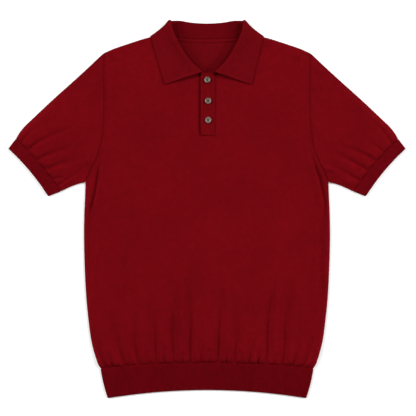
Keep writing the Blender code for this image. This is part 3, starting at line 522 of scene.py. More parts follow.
def neck_rise(x, y):
    """How much both panels lie above the floor's level on their way onto the collar's back fall."""
    return NECK_LIFT * smooth_step((y - fall_edge_y(x) + NECK_LIFT_START) / NECK_LIFT_RUN)


def groove(offset):
    """A soft trough's depth as a share, by the distance from its middle in half widths."""
    return np.exp(-(offset**2))


def ridge(distance, middle, half_width, height):
    """Height of a soft ridge that runs along an edge, by the distance from that edge."""
    return height * groove((distance - middle) / half_width)


def crease(offset):
    """A trough with a sharper bottom."""
    return np.exp(-np.abs(offset) ** 1.7)


def gather_share(seam_x, rise):
    """Where the wale that leaves the hem seam at seam_x lies at this rise, as a share of the half width."""
    seam = HEM_SEAM_SIDE[0]
    starts = np.concatenate([[-seam], SEAM_X, [seam]])
    mid_side = side_x(HEM_SEAM_MIDDLE_Y + MID_RISE)
    high_side = side_x(HEM_SEAM_MIDDLE_Y + HIGH_RISE)
    at_seam = np.interp(seam_x, starts, starts / seam)
    at_mid = np.interp(seam_x, starts, np.concatenate([[-1], MID_X / mid_side, [1]]))
    at_high = np.interp(seam_x, starts, np.concatenate([[-1], HIGH_X / high_side, [1]]))
    low = at_seam + (at_mid - at_seam) * np.clip(rise / MID_RISE, 0, 1)
    return low + (at_high - at_mid) * np.clip((rise - MID_RISE) / (HIGH_RISE - MID_RISE), 0, 1)


def puffed(distance, start):
    """How far the cloth has swollen, as a share, this far from a seam."""
    return 1 - np.exp(-distance / start)


def groove_start(swollen):
    """How deep a gather's groove is beside its seam, as a share."""
    return GROOVE_AT_SEAM + (1 - GROOVE_AT_SEAM) * swollen


def gather_relief(x, y):
    rise = np.maximum(y - hem_seam_y(x), 0)
    swollen = puffed(rise, PUFF_START)
    total = GATHER_PUFF * swollen * np.exp(-rise / PUFF_FADE)
    for seam_x, depth, half_width, length in zip(SEAM_X, DEPTH, HALF_WIDTH, LENGTH):
        middle = gather_share(seam_x, rise) * side_x(y)
        fade = np.clip(1 - rise / length, 0, 1) ** 0.5 * groove_start(swollen)
        total = total - depth * fade * crease((x - middle) / half_width)
    return total


def fold_relief(x, y):
    """The long folds of the front, between swollen banks."""
    total = np.zeros(np.broadcast(x, y).shape)
    for places, depth, half_width, swell, swell_half_width in LONG_FOLDS:
        fold_x, fold_y = np.array(places, float)[::-1].T
        offset = x - np.interp(y, fold_y, fold_x)
        fade = within((fold_y[-1] - y) / (fold_y[-1] - fold_y[0]), *LONG_FOLD_ENDS)
        sunk = depth * crease(offset / half_width)
        total = total + fade * (swell * groove(offset / swell_half_width) - sunk)
    return total


def soft_relief(x, y, table):
    """Straight soft troughs that fade towards both ends."""
    total = np.zeros(np.broadcast(x, y).shape)
    for top_x, top_y, foot_x, foot_y, depth, half_width in table:
        run_x, run_y = foot_x - top_x, foot_y - top_y
        length = math.hypot(run_x, run_y)
        along = ((x - top_x) * run_x + (y - top_y) * run_y) / length**2
        across = ((x - top_x) * run_y - (y - top_y) * run_x) / length
        total = total - depth * within(along, *SOFT_FOLD_ENDS) * groove(across / half_width)
    return total


def scatter_puckers(kind, start, end, seed):
    """Rows of place, depth, half width and length for small puckers from start to end."""
    chance = np.random.default_rng(seed)
    rows = []
    place = start
    while place < end:
        rows.append([place] + [chance.uniform(*kind[size]) for size in ("depth", "half_width", "length")])
        place += chance.uniform(*kind["spacing"])
    return np.array(rows)


def pucker_relief(puckers, from_seam, offset_from, profile):
    """Small troughs that run in from a seam. offset_from gives the distance from the middle of a pucker."""
    total = np.zeros(np.shape(from_seam))
    for seam_place, depth, half_width, length in puckers:
        fade = np.exp(-from_seam / (PUCKER_FADE * length)) * smooth_step(from_seam / PUCKER_START)
        width = half_width * (1 + from_seam / PUCKER_SPREAD)
        total = total - depth * fade * profile(offset_from(seam_place) / width)
    return total


FRONT_PUCKERS = scatter_puckers(HEM_PUCKERS, -HEM_SEAM_SIDE[0] + 4, HEM_SEAM_SIDE[0] - 4, 11)


def hem_pucker_relief(x, y):
    rise = np.maximum(y - hem_seam_y(x), 0)

    def offset_from(seam_x):
        return x - gather_share(seam_x, rise) * side_x(y)

    return pucker_relief(FRONT_PUCKERS, rise, offset_from, crease)


def armhole_relief(x, y):
    """The panel's dip along its armhole seam and the soft ridge beside it."""
    inside = np.maximum(inside_edge(x, y), 0)
    there = within(y, UNDERARM[1] - 6, 14, SHOULDER_TIP[1] + 4, 20)
    deepens_from, deepens_over = SEAM_DIP_RISE
    share = SEAM_DIP_LOW + (1 - SEAM_DIP_LOW) * smooth_step((y - deepens_from) / deepens_over)
    dip = SEAM_DIP * np.exp(-inside / SEAM_REACH) * share
    return there * (ridge(inside, *SEAM_RIDGE) - dip)


def kept_off_back(relief):
    """A deep groove flattens out where it meets the back."""
    half_slack = (TUBE_HEIGHT - LOWEST_FRONT) / 2
    flattened = half_slack * (np.exp(np.minimum(relief / half_slack + 1, 0)) - 2)
    return np.where(relief < -half_slack, flattened, relief)


def plain_front_height(x, y):
    """Height of the front without its finest folds, for what lies on it."""
    relief = (gather_relief(x, y) + fold_relief(x, y)) * smooth_step(inside_edge(x, y) / EDGE_FADE)
    return TUBE_HEIGHT + kept_off_back(relief) + neck_rise(x, y)


def front_height(x, y):
    """Height of the front panel's outer side."""
    relief = gather_relief(x, y) + fold_relief(x, y) + soft_relief(x, y, SOFT_FOLDS) + hem_pucker_relief(x, y)
    relief = relief * smooth_step(inside_edge(x, y) / EDGE_FADE) + armhole_relief(x, y)
    return TUBE_HEIGHT + kept_off_back(relief) + neck_rise(x, y)


def back_height(x, y):
    """Height of the back panel's outer side, which is its underside: flat but for shallow gathers."""
    gathers = np.clip(-gather_relief(-x, y) * BACK_GATHER_SHARE, 0, BACK_GATHER_MOST)
    return neck_rise(x, y) + gathers


# ---------------------------------------------------------------- trees of nodes


def add_node(tree, kind, settings=None, inputs=None):
    """A node with its settings, and its inputs set or linked, each by name or number."""
    node = tree.nodes.new(kind)
    for name, value in (settings or {}).items():
        setattr(node, name, value)
    for key, value in (inputs or {}).items():
        if isinstance(value, bpy.types.NodeSocket):
            tree.links.new(value, node.inputs[key])
        else:
            node.inputs[key].default_value = value
    return node


def calculate(tree, operation, *values):
    return add_node(tree, "ShaderNodeMath", {"operation": operation}, dict(enumerate(values))).outputs[0]


def new_tree(name, kind, inputs, outputs):
    """A tree with named inputs and outputs, each of its kind, and the sockets that bring the values in."""
    tree = bpy.data.node_groups.new(name, kind)
    for in_out, sockets in (("INPUT", inputs), ("OUTPUT", outputs)):
        for socket, socket_kind in sockets.items():
            tree.interface.new_socket(socket, in_out=in_out, socket_type=f"NodeSocket{socket_kind}")
    return tree, tree.nodes.new("NodeGroupInput").outputs


def run_tree(made, tree, inputs):
    """The plain mesh that a tree of nodes makes of an object."""
    modifier = made.modifiers.new(tree.name, "NODES")
    modifier.node_group = tree
    for socket in tree.interface.items_tree:
        if socket.in_out == "INPUT" and socket.name in inputs:
            modifier[socket.identifier] = inputs[socket.name]
    return made_plain(made)


def made_plain(made):
    """The object with its modifiers worked into its mesh."""
    graph = bpy.context.evaluated_depsgraph_get()
    mesh = bpy.data.meshes.new_from_object(made.evaluated_get(graph), depsgraph=graph)
    made.modifiers.clear()
    made.data = mesh
    return made


def joined(first, others):
    """One object out of several."""
    with bpy.context.temp_override(active_object=first, selected_editable_objects=[first, *others]):
        bpy.ops.object.join()
    return first


def finish_tree(tree, geometry, material):
    real = add_node(tree, "GeometryNodeRealizeInstances", None, {"Geometry": geometry}).outputs[0]
    dressed = add_node(tree, "GeometryNodeSetMaterial", None, {"Geometry": real, "Material": material})
    add_node(tree, "NodeGroupOutput", None, {0: dressed.outputs[0]})


def build_raise_ribs():
    """Raises ribs along the normals. rib_phase counts the ribs, rib_share is each point's part in them."""
    inputs = {"Geometry": "Geometry", "Rib Height": "Float", "Material": "Material"}
    tree, given = new_tree("raise_ribs", "GeometryNodeTree", inputs, {"Geometry": "Geometry"})
    work = partial(calculate, tree)
    phase, share = (
        add_node(tree, "GeometryNodeInputNamedAttribute", None, {"Name": name}).outputs["Attribute"]
        for name in ("rib_phase", "rib_share")
    )
    wave = work("ABSOLUTE", work("SINE", work("MULTIPLY", phase, math.pi)))
    full = work("MULTIPLY", work("POWER", wave, RIB_ROUNDNESS), share)
    height = work("MULTIPLY", full, given["Rib Height"])
    normal = add_node(tree, "GeometryNodeInputNormal").outputs["Normal"]
    offset = add_node(tree, "ShaderNodeVectorMath", {"operation": "SCALE"}, {0: normal, "Scale": height})
    moved = {"Geometry": given["Geometry"], "Offset": offset.outputs[0]}
    raised = add_node(tree, "GeometryNodeSetPosition", None, moved)
    finish_tree(tree, raised.outputs[0], given["Material"])
    return tree


def build_sew_line():
    """Lays rounded stitches along a line, each turned a little from it."""
    sizes = dict.fromkeys(("Spacing", "Length", "Width", "Turn"), "Float")
    inputs = {"Geometry": "Geometry", **sizes, "Material": "Material"}
    tree, given = new_tree("sew_line", "GeometryNodeTree", inputs, {"Geometry": "Geometry"})
    curve = add_node(tree, "GeometryNodeMeshToCurve", None, {"Mesh": given["Geometry"]}).outputs[0]
    spaced = {"Curve": curve, "Length": given["Spacing"]}
    spots = add_node(tree, "GeometryNodeCurveToPoints", {"mode": "LENGTH"}, spaced).outputs
    aligned = {"Vector": spots["Tangent"]}
    for pivot in ("Z", "Y"):
        settings = {"axis": "X", "pivot_axis": pivot}
        align = add_node(tree, "FunctionNodeAlignRotationToVector", settings, aligned)
        aligned["Rotation"] = align.outputs[0]
    turn = add_node(tree, "ShaderNodeCombineXYZ", None, {"Z": given["Turn"]}).outputs[0]
    turns = {0: aligned["Rotation"], 1: turn}
    turned = add_node(tree, "FunctionNodeRotateRotation", {"rotation_space": "LOCAL"}, turns)
    stitch = add_node(tree, "GeometryNodeMeshUVSphere", None, {"Segments": 6, "Rings": 4, "Radius": 0.5})
    size = {"X": given["Length"], "Y": given["Width"], "Z": given["Width"]}
    size = add_node(tree, "ShaderNodeCombineXYZ", None, size)
    laid = {"Points": spots[0], "Instance": stitch.outputs[0]}
    laid.update({"Rotation": turned.outputs[0], "Scale": size.outputs[0]})
    sewn = add_node(tree, "GeometryNodeInstanceOnPoints", None, laid)
    finish_tree(tree, sewn.outputs[0], given["Material"])
    return tree


RAISE_RIBS = build_raise_ribs()
SEW_LINE = build_sew_line()


def sew(name, lines, stitch, material):
    """Stitches along these lines, as one object."""
    spacing, length, width, turn = stitch
    sizes = {"Spacing": spacing * MM, "Length": length * MM, "Width": width * MM, "Material": material}
    parts = []
    for points in lines:
        made = new_object(name, points, [(i, i + 1) for i in range(len(points) - 1)], [])
        parts.append(run_tree(made, SEW_LINE, {**sizes, "Turn": math.radians(turn)}))
        turn = -turn
    sewn = joined(parts[0], parts[1:]) if len(parts) > 1 else parts[0]
    sewn.data.shade_smooth()
    return sewn


# ---------------------------------------------------------------- materials


def build_knit_loops():
    """Plain knit: columns of V-shaped loops, by a place in metres on the cloth."""
    inputs = {"Place": "Vector", "Wale": "Float", "Course": "Float"}
    tree, given = new_tree("knit_loops", "ShaderNodeTree", inputs, {"Height": "Float"})
    work = partial(calculate, tree)
    spot = add_node(tree, "ShaderNodeSeparateXYZ", None, {0: given["Place"]}).outputs
    column = work("FRACT", work("DIVIDE", spot["X"], given["Wale"]))
    off_middle = work("MULTIPLY", work("ABSOLUTE", work("SUBTRACT", column, 0.5)), 2.0)
    off_leg = work("MULTIPLY", work("ABSOLUTE", work("SUBTRACT", off_middle, 0.52)), 2.0)
    leg = work("SUBTRACT", 1.0, work("POWER", off_leg, 2.2))
    rows = work("DIVIDE", spot["Y"], given["Course"])
    slanted = work("FRACT", work("SUBTRACT", rows, work("MULTIPLY", off_middle, 0.9)))
    bulge = work("SINE", work("MULTIPLY", slanted, math.pi))
    loop = work("MULTIPLY", leg, work("ADD", work("MULTIPLY", bulge, 0.6), 0.4))
    add_node(tree, "NodeGroupOutput", None, {"Height": loop})
    return tree


def build_yarn_tone():
    """Slight unevenness of dyed yarn: a broad drift and a fine fuzz, about 1."""
    inputs = {"Place": "Vector", "Drift": "Float", "Fuzz": "Float"}
    tree, given = new_tree("yarn_tone", "ShaderNodeTree", inputs, {"Tone": "Float"})
    work = partial(calculate, tree)
    total = 1.0
    for scale, detail, amount in ((9.0, 3.0, "Drift"), (110.0, 2.0, "Drift"), (900.0, 2.0, "Fuzz")):
        speckle = {"Vector": given["Place"], "Scale": scale, "Detail": detail}
        noise = add_node(tree, "ShaderNodeTexNoise", None, speckle).outputs[0]
        total = work("ADD", work("MULTIPLY", work("SUBTRACT", noise, 0.5), given[amount]), total)
    add_node(tree, "NodeGroupOutput", None, {"Tone": total})
    return tree


KNIT_LOOPS = build_knit_loops()
YARN_TONE = build_yarn_tone()


def new_material(name, constants):
    """A material and its shader, which has these constants and is never metallic."""
    material = bpy.data.materials.new(name)
    material.use_nodes = True
    shader = material.node_tree.nodes["Principled BSDF"]
    for socket, value in {"Metallic": 0.0, **constants}.items():
        shader.inputs[socket].default_value = value
    return material, shader


def knit_material(name, colour, wale=WALE, course=COURSE):
    """Matt knitted cotton of this colour, with painted shade between its loops and painted light on them."""
    material, shader = new_material(name, {"Roughness": 0.9, "Specular IOR Level": 0.01})
    tree = material.node_tree
    work = partial(calculate, tree)
    on_cloth = add_node(tree, "ShaderNodeUVMap", {"uv_map": "knit"}).outputs[0]
    in_space = add_node(tree, "ShaderNodeTexCoord").outputs["Object"]
    knit = {"Place": on_cloth, "Wale": wale * MM, "Course": course * MM}
    loops = add_node(tree, "ShaderNodeGroup", {"node_tree": KNIT_LOOPS}, knit).outputs["Height"]
    yarn = {"Place": in_space, "Drift": YARN_DRIFT, "Fuzz": YARN_FUZZ}
    tone = add_node(tree, "ShaderNodeGroup", {"node_tree": YARN_TONE}, yarn).outputs["Tone"]
    painted_gap_shade, painted_loop_light = LOOP_PAINTED_SHADES
    # painted shade between the loops and painted light on them, laid into the base colour
    painted_loop_shade = work("MULTIPLY", work("ADD", work("MULTIPLY", loops, painted_loop_light), painted_gap_shade), tone)
    tinted = add_node(tree, "ShaderNodeVectorMath", {"operation": "SCALE"}, {0: colour, "Scale": painted_loop_shade})
    dents = {"Strength": LOOP_STRENGTH, "Distance": LOOP_DEPTH * MM, "Height": loops}
    bump = add_node(tree, "ShaderNodeBump", None, dents)
    tree.links.new(tinted.outputs[0], shader.inputs["Base Color"])
    tree.links.new(bump.outputs[0], shader.inputs["Normal"])
    return material


def thread_material(name, colour):
    look = {"Base Color": (*colour, 1.0), "Roughness": 0.7, "Specular IOR Level": 0.02}
    return new_material(name, look)[0]


def horn_material():
    """Polished horn-like resin: grey-brown with darker streaks."""
    look = {"Roughness": 0.36, "Coat Weight": 0.25, "Coat Roughness": 0.12}
    material, shader = new_material("button_horn", look)
    tree = material.node_tree
    where = add_node(tree, "ShaderNodeTexCoord").outputs["Object"]
    stretched = add_node(tree, "ShaderNodeMapping", None, {"Vector": where, "Scale": (260.0, 70.0, 260.0)})
    streaks = {"Vector": stretched.outputs[0], "Scale": 1.0, "Detail": 4.0}
    streaks = add_node(tree, "ShaderNodeTexNoise", None, streaks)
    ramp = add_node(tree, "ShaderNodeValToRGB", None, {"Fac": streaks.outputs[0]})
    for stop, position, colour in zip(ramp.color_ramp.elements, (0.36, 0.62), (HORN_DARK, HORN_LIGHT)):
        stop.position = position
        stop.color = (*colour, 1.0)
    tree.links.new(ramp.outputs["Color"], shader.inputs["Base Color"])
    return material


def floor_material():
    look = {"Base Color": (0.9, 0.9, 0.9, 1.0), "Roughness": 0.8, "Specular IOR Level": 0.2}
    look.update({"Emission Color": (1.0, 1.0, 1.0, 1.0), "Emission Strength": FLOOR_GLOW})
    return new_material("pale_floor", look)[0]


# ---------------------------------------------------------------- meshes


def new_object(name, points, edges, faces):
    """A bare object of these points in millimetres."""
    points = (np.array(points, float) - (0, OUTLINE_MIDDLE_Y, 0)) * MM
    mesh = bpy.data.meshes.new(name)
    mesh.from_pydata(points.tolist(), edges, faces)
    made = bpy.data.objects.new(name, mesh)
    bpy.context.scene.collection.objects.link(made)
    return made


def place(name, points, faces, material, knit=None):
    """The object made of these points, with its material and its knit map."""
    made = new_object(name, points, [], faces)
    mesh = made.data
    mesh.shade_smooth()
    mesh.set_sharp_from_angle(angle=math.radians(55))
    if knit is not None:
        corner = np.empty(len(mesh.loops), np.int32)
        mesh.loops.foreach_get("vertex_index", corner)
        layer = mesh.uv_layers.new(name="knit")
        layer.data.foreach_set("uv", (np.array(knit, float)[corner] * MM).ravel())
    mesh.materials.append(material)
    return made


def mark(made, name, values):
    made.data.attributes.new(name, "FLOAT", "POINT").data.foreach_set("value", np.array(values, np.float32))


def strip(low, high, low_keys=None, high_keys=None):
    """Faces between two rows of point numbers. Rows of unlike length are matched by their keys."""
    if len(low) == len(high):
        return [(low[i], low[i + 1], high[i + 1], high[i]) for i in range(len(low) - 1)]
    faces = []
    i = j = 0
    while i < len(low) - 1 or j < len(high) - 1:
        if j == len(high) - 1 or (i < len(low) - 1 and low_keys[i + 1] <= high_keys[j + 1]):
            faces.append((low[i], low[i + 1], high[j]))
            i += 1
        else:
            faces.append((low[i], high[j + 1], high[j]))
            j += 1
    return faces


class Cloth:
    """A wall of cloth with an outer and an inner skin of the same faces, a knit map and rib marks."""

    def __init__(self):
        self.outer, self.inner, self.knit, self.ribs, self.faces = [], [], [], [], []
        self.last = None

    def row(self, outer, inner, knit, ribs=()):
        """Adds a row of points, and gives their numbers."""
        first = len(self.outer)
        for whole, part in ((self.outer, outer), (self.inner, inner), (self.knit, knit), (self.ribs, ribs)):
            whole += [tuple(point) for point in part]
        return list(range(first, len(self.outer)))

    def join(self, low, high, low_keys=None, high_keys=None):
        self.faces += strip(low, high, low_keys, high_keys)

    def follow(self, row):
        """Joins a row to the one that came before it."""
        if self.last:
            self.join(self.last, row)
        self.last = row

    def finish(self, name, material, upward=True, reverse_and_shade=None):
        """Closes the wall along every open edge and places it, with its own material inside if it has one."""
        faces = self.faces if upward else [face[::-1] for face in self.faces]
        count = len(self.outer)
        edges = {(face[k - 1], face[k]) for face in faces for k in range(len(face))}
        rims = [(b, a, a + count, b + count) for a, b in sorted(edges) if (b, a) not in edges]
        inside = [tuple(corner + count for corner in face[::-1]) for face in faces]
        made = place(name, self.outer + self.inner, faces + inside + rims, material, self.knit * 2)
        # the inner skin and rims take the reverse side's colour, darker partly as painted shade
        if reverse_and_shade:
            made.data.materials.append(reverse_and_shade)
            skins = [0] * len(faces) + [1] * len(inside + rims)
            made.data.polygons.foreach_set("material_index", skins)
        if self.ribs:
            marks = np.array(self.ribs + [(0.0, 0.0)] * count)
            mark(made, "rib_phase", marks[:, 0])
            mark(made, "rib_share", marks[:, 1])
        return made


def cloth_row(places, height, up, lean=None, wall=KNIT):
    """Outer and inner points over these places. lean turns a folded edge outwards, fully at a length of 1."""
    x, y = places[:, 0], places[:, 1]
    lean = np.zeros_like(places) if lean is None else lean
    turned = np.linalg.norm(lean, axis=1)
    level = np.sqrt(np.maximum(1 - turned**2, 0))
    step = 0.2
    slope_x = (height(x + step, y) - height(x - step, y)) / (2 * step)
    slope_y = (height(x, y + step) - height(x, y - step)) / (2 * step)
    flat_normal = np.stack([-slope_x, -slope_y, np.ones_like(x)], axis=1)
    flat_normal /= np.linalg.norm(flat_normal, axis=1)[:, None]
    normal = up * flat_normal * level[:, None] + np.column_stack([lean, np.zeros_like(x)])
    normal /= np.linalg.norm(normal, axis=1)[:, None]
    z = height(x, y) - up * FOLD_RADIUS * (1 - level)
    outer = np.column_stack([x, y, z])
    return outer, outer - np.broadcast_to(wall, x.shape)[:, None] * normal


def side_rounded(flat, edge_x, fold):
    """A row of places with its rounded sides, and their lean. fold is 1 at a folded side, 0 at a cut one."""
    y_left, y_right = flat[0, 1], flat[-1, 1]
    turns = np.array(FOLD_TURNS[:-1])
    reach = edge_x - FOLD_RADIUS * (1 - turns)
    left = np.column_stack([-reach, np.full_like(reach, y_left)])
    right = np.column_stack([reach, np.full_like(reach, y_right)])
    left_lean = np.column_stack([-turns * fold, np.zeros_like(turns)])
    right_lean = np.column_stack([turns * fold, np.zeros_like(turns)])
    places = np.concatenate([left, flat, right[::-1]])
    lean = np.concatenate([left_lean, np.zeros_like(flat), right_lean[::-1]])
    return places, lean


def body_row(shares, share_up):
    """Places and lean of one row of the body below the underarms."""
    x = np.array(shares) * side_x(HEM_SEAM_MIDDLE_Y + share_up * (UNDERARM[1] - HEM_SEAM_MIDDLE_Y))
    for _ in range(3):
        seam = hem_seam_y(x)
        y = seam + share_up * (UNDERARM[1] - seam)
        x = np.array(shares) * (side_x(y) - FOLD_RADIUS)
    return side_rounded(np.column_stack([x, y]), side_x(y[-1]), 1.0)


# ---------------------------------------------------------------- front and back


def wide_knit(places, wales):
    """Knit map of a row: its wales, and how far up the shirt it is."""
    sides = len(FOLD_TURNS) - 1
    beyond = np.abs(places[-sides:, 0]) - np.abs(places[-sides - 1, 0])
    wales = np.concatenate([wales[0] - beyond[::-1], wales, wales[-1] + beyond])
    return np.column_stack([wales, places[:, 1]])


def beside_neck(points, distance):
    """Places beside the collar's seam, on the panel's side of it."""
    moved = aside(spline(points), distance)
    return [tuple(place) for place in moved(knot_shares(points))]


def top_columns(neck_count, shoulder_count):
    neck = np.linspace(0, NECK_MEETING, neck_count)
    return np.concatenate([neck, np.linspace(NECK_MEETING, 1, shoulder_count)[1:]])


def upper_half(slit_x, flip):
    """Half of the front above the placket's foot, drawn on the right: its surface and top edge."""
    seam = [(seam_x + flip * SEAM_PULL * pull, seam_y) for seam_x, seam_y, *_, pull in COLLAR_FRONT]
    neck = beside_neck(seam, GAP)
    neck = [(slit_x, neck[0][1] - SLIT_TOP_DROP)] + neck + [NECK_POINT]
    foot = spline([(slit_x, PLACKET_BOTTOM), ARMHOLE_CURVE(ARMHOLE_START)[0]])
    top = chain(spline(neck), spline(SHOULDER), NECK_MEETING)

    def armhole(up):
        return ARMHOLE_CURVE(ARMHOLE_START + (1 - ARMHOLE_START) * np.atleast_1d(up))

    return patch(foot, top, spline([(slit_x, PLACKET_BOTTOM), neck[0]]), armhole), top


def folded_top(top, columns):
    """The last rows below the top edge, from flat to fully turned along the shoulder."""
    rows = []
    folded = smooth_step((columns - NECK_MEETING) / 0.06)
    along = top(np.minimum(columns + 0.01, 1)) - top(np.maximum(columns - 0.01, 0))
    along /= np.linalg.norm(along, axis=1)[:, None]
    outwards = np.stack([-along[:, 1], along[:, 0]], axis=1)
    for turn in FOLD_TURNS[::-1]:
        places = top(columns) - outwards * FOLD_RADIUS * (1 - turn)
        rows.append((places, outwards * (turn * folded)[:, None]))
    return rows


def make_front(material, reverse_and_shade):
    cloth = Cloth()
    seam_columns = np.linspace(-HEM_SEAM_SIDE[0], HEM_SEAM_SIDE[0], FRONT_COLUMNS)
    high_shares = gather_share(seam_columns, HIGH_RISE)
    wales = high_shares * UNDERARM[0]
    body_height = UNDERARM[1] - HEM_SEAM_MIDDLE_Y
    rises = np.concatenate([np.arange(0, 10, 1.2), np.arange(10, 50, 2.5), np.arange(50, body_height, 5.0)])
    for rise in np.append(rises, body_height):
        places, lean = body_row(gather_share(seam_columns, rise), rise / body_height)
        cloth.follow(cloth.row(*cloth_row(places, front_height, 1, lean), wide_knit(places, wales)))

    for edge, y in ARMHOLE_CURVE(np.linspace(0, ARMHOLE_START, 22)[1:-1]):
        fold = 1 - smooth_step((y - UNDERARM[1]) / 12)
        flat = np.column_stack([high_shares * (edge - FOLD_RADIUS), np.full_like(high_shares, y)])
        places, lean = side_rounded(flat, edge, fold)
        cloth.follow(cloth.row(*cloth_row(places, front_height, 1, lean), wide_knit(places, wales)))

    columns = top_columns(NECK_COLUMNS, SHOULDER_COLUMNS)
    left, left_top = upper_half(-SLIT_LEFT, -1)
    right, right_top = upper_half(SLIT_RIGHT, 1)
    foot_places = np.concatenate([mirrored(left(columns[::-1], 0)), right(columns, 0)])
    foot = cloth.row(*cloth_row(foot_places, front_height, 1), foot_places)
    keys = places[:, 0] / places[-1, 0]
    cloth.join(cloth.last, foot, keys, foot_places[:, 0] / foot_places[-1, 0])

    count = len(columns)
    ups = np.linspace(0, 0.975, UPPER_ROWS)[1:]
    for half, top, flip, low in ((left, left_top, -1, foot[:count]), (right, right_top, 1, foot[count:])):
        cloth.last = low
        rows = [(half(columns, up), np.zeros((count, 2))) for up in ups]
        for places, lean in rows + folded_top(top, columns):
            places = places[::flip] * (flip, 1)
            lean = lean[::flip] * (flip, 1)
            cloth.follow(cloth.row(*cloth_row(places, front_height, 1, lean), places))
    return cloth.finish("front_panel", material, reverse_and_shade=reverse_and_shade)


def neck_tape(places, neck):
    """How much thicker the back is at its neck seam, where a tape is sewn over the seam inside."""
    width, height, edge = NECK_TAPE
    neck_x, neck_y = np.array(neck).T
    below = np.interp(np.abs(places[:, 0]), neck_x, neck_y) - places[:, 1]
    raised = smooth_step((width - below) / edge) * smooth_step((neck_x[-2] - np.abs(places[:, 0])) / 6)
    bulge = 1 - 0.3 * np.cos(2 * math.pi * np.clip(below / width, 0, 1))
    taped = height * raised * bulge + ridge(below, *TAPE_DIP)
    return np.where(places[:, 1] > UNDERARM[1] + 150, taped, 0.0)


def make_back(material, reverse_and_shade):
    cloth = Cloth()
    neck = beside_neck([row[:2] for row in COLLAR_BACK], BACK_NECK_GAP)[::-1] + [NECK_POINT]
    across = top_columns(BACK_NECK_COLUMNS, BACK_SHOULDER_COLUMNS)
    both = np.concatenate([-across[:0:-1], across])
    for share_up in np.concatenate([np.linspace(0, 0.1, 12), np.linspace(0.1, 1, 46)[1:]]):
        places, lean = body_row(both, share_up)
        cloth.follow(cloth.row(*cloth_row(places, back_height, -1, lean), places))

    top = chain(spline(neck), spline(SHOULDER), NECK_MEETING)
    foot = (0, UNDERARM[1])
    half = patch(spline([foot, UNDERARM]), top, spline([foot, neck[0]]), ARMHOLE_CURVE)
    ups = np.concatenate([np.linspace(0, 0.94, 50)[1:], np.linspace(0.94, 0.993, 16)[1:]])
    rows = [(half(across, up), np.zeros((len(across), 2))) for up in ups]
    sides = len(FOLD_TURNS) - 1
    for places, lean in rows + folded_top(top, across):
        places = np.concatenate([mirrored(places[:0:-1]), places])
        lean = np.concatenate([mirrored(lean[:0:-1]), lean])
        wall = KNIT + neck_tape(places, neck)
        row = cloth.row(*cloth_row(places, back_height, -1, lean, wall), places)
        below = cloth.last
        ends = sides if len(row) < len(below) else 0
        cloth.last = below[ends : len(below) - ends]
        cloth.follow(row)
        cloth.faces += [(below[i], below[i + 1], row[0]) for i in range(ends)]
        cloth.faces += [(below[-i - 2], below[-i - 1], row[-1]) for i in range(ends)]
    return cloth.finish("back_panel", material, upward=False, reverse_and_shade=reverse_and_shade)


# ---------------------------------------------------------------- flattened tubes


def ring(width, radius, top_shares, low_shares):
    """Stations round a flattened tube: distance across its width, height, and 1 on its upper side."""
    centre = TUBE_HEIGHT / 2
    flat = width - 2 * centre
    stations = [(centre + share * flat, centre + radius, 1.0) for share in top_shares]
    for step in range(1, ARC_STEPS + 1):
        angle = math.pi * (0.5 - step / (ARC_STEPS + 1))
        stations.append((width - centre + radius * math.cos(angle), centre + radius * math.sin(angle), 0.0))
    stations += [(centre + share * flat, centre - radius, 0.0) for share in low_shares[::-1]]
    for step in range(1, ARC_STEPS + 1):
        angle = math.pi * (-0.5 - step / (ARC_STEPS + 1))
        stations.append((centre + radius * math.cos(angle), centre + radius * math.sin(angle), 0.0))
    return np.array(stations)


def make_tube(name, material, surface, rows, top, low, relief, flip, wall=KNIT, ribs=0):
    """A flattened tube of cloth that tucks under the piece it is sewn to. rows are shares of its length."""
    start, end = surface(0.5, 0.0)[0], surface(0.5, 1.0)[0]
    onwards = (end - start) / np.linalg.norm(end - start)
    beside = np.array([onwards[1], -onwards[0]])
    lines = [(0.0, *row) for row in TUCK_ROWS] + [(t, TUCK_ROWS[-1][0], 0.0, wall) for t in rows if t > 0.01]
    cloth = Cloth()
    for t, past, pinch, thin in lines:
        width = length_of(surface(np.linspace(0, 1, 40), t))
        skins = []
        for inset in (pinch, pinch + min(thin, wall)):
            stations = ring(width, TUBE_HEIGHT / 2 - inset, top, low)
            across = stations[:, 0] / width
            lengths = np.linalg.norm(surface(across, 1.0) - surface(across, 0.0), axis=1)
            along = t + (1 - t) * past / lengths
            lift = relief(across, along, lengths) * stations[:, 2]
            if inset > pinch:
                slope = relief(across + 0.01, along, lengths) - relief(across - 0.01, along, lengths)
                lift = lift - stations[:, 2] * wall * (np.sqrt(1 + (slope / (0.02 * width)) ** 2) - 1)
            spots = surface(across, np.maximum(along, 0))
            if past < 0:
                way = surface(across, 0.03) - spots
                spots = spots + way / np.linalg.norm(way, axis=1)[:, None] * past
            skins.append(np.column_stack([spots * (flip, 1), stations[:, 1] + lift]))
        knit = np.column_stack([spots @ beside, spots @ onwards])
        marks = ()
        if ribs:
            phases, shares = np.zeros(len(stations)), np.zeros(len(stations))
            phases[: len(top)] = top * ribs
            edges = smooth_step(np.minimum(top, 1 - top) * width / 3.0)
            shares[: len(top)] = edges * smooth_step((along * lengths)[: len(top)] / 2.0)
            marks = np.column_stack([phases, shares])
        row = cloth.row(*skins, knit, marks)
        cloth.follow(row + row[:1])
    return cloth.finish(name, material, upward=flip < 0)


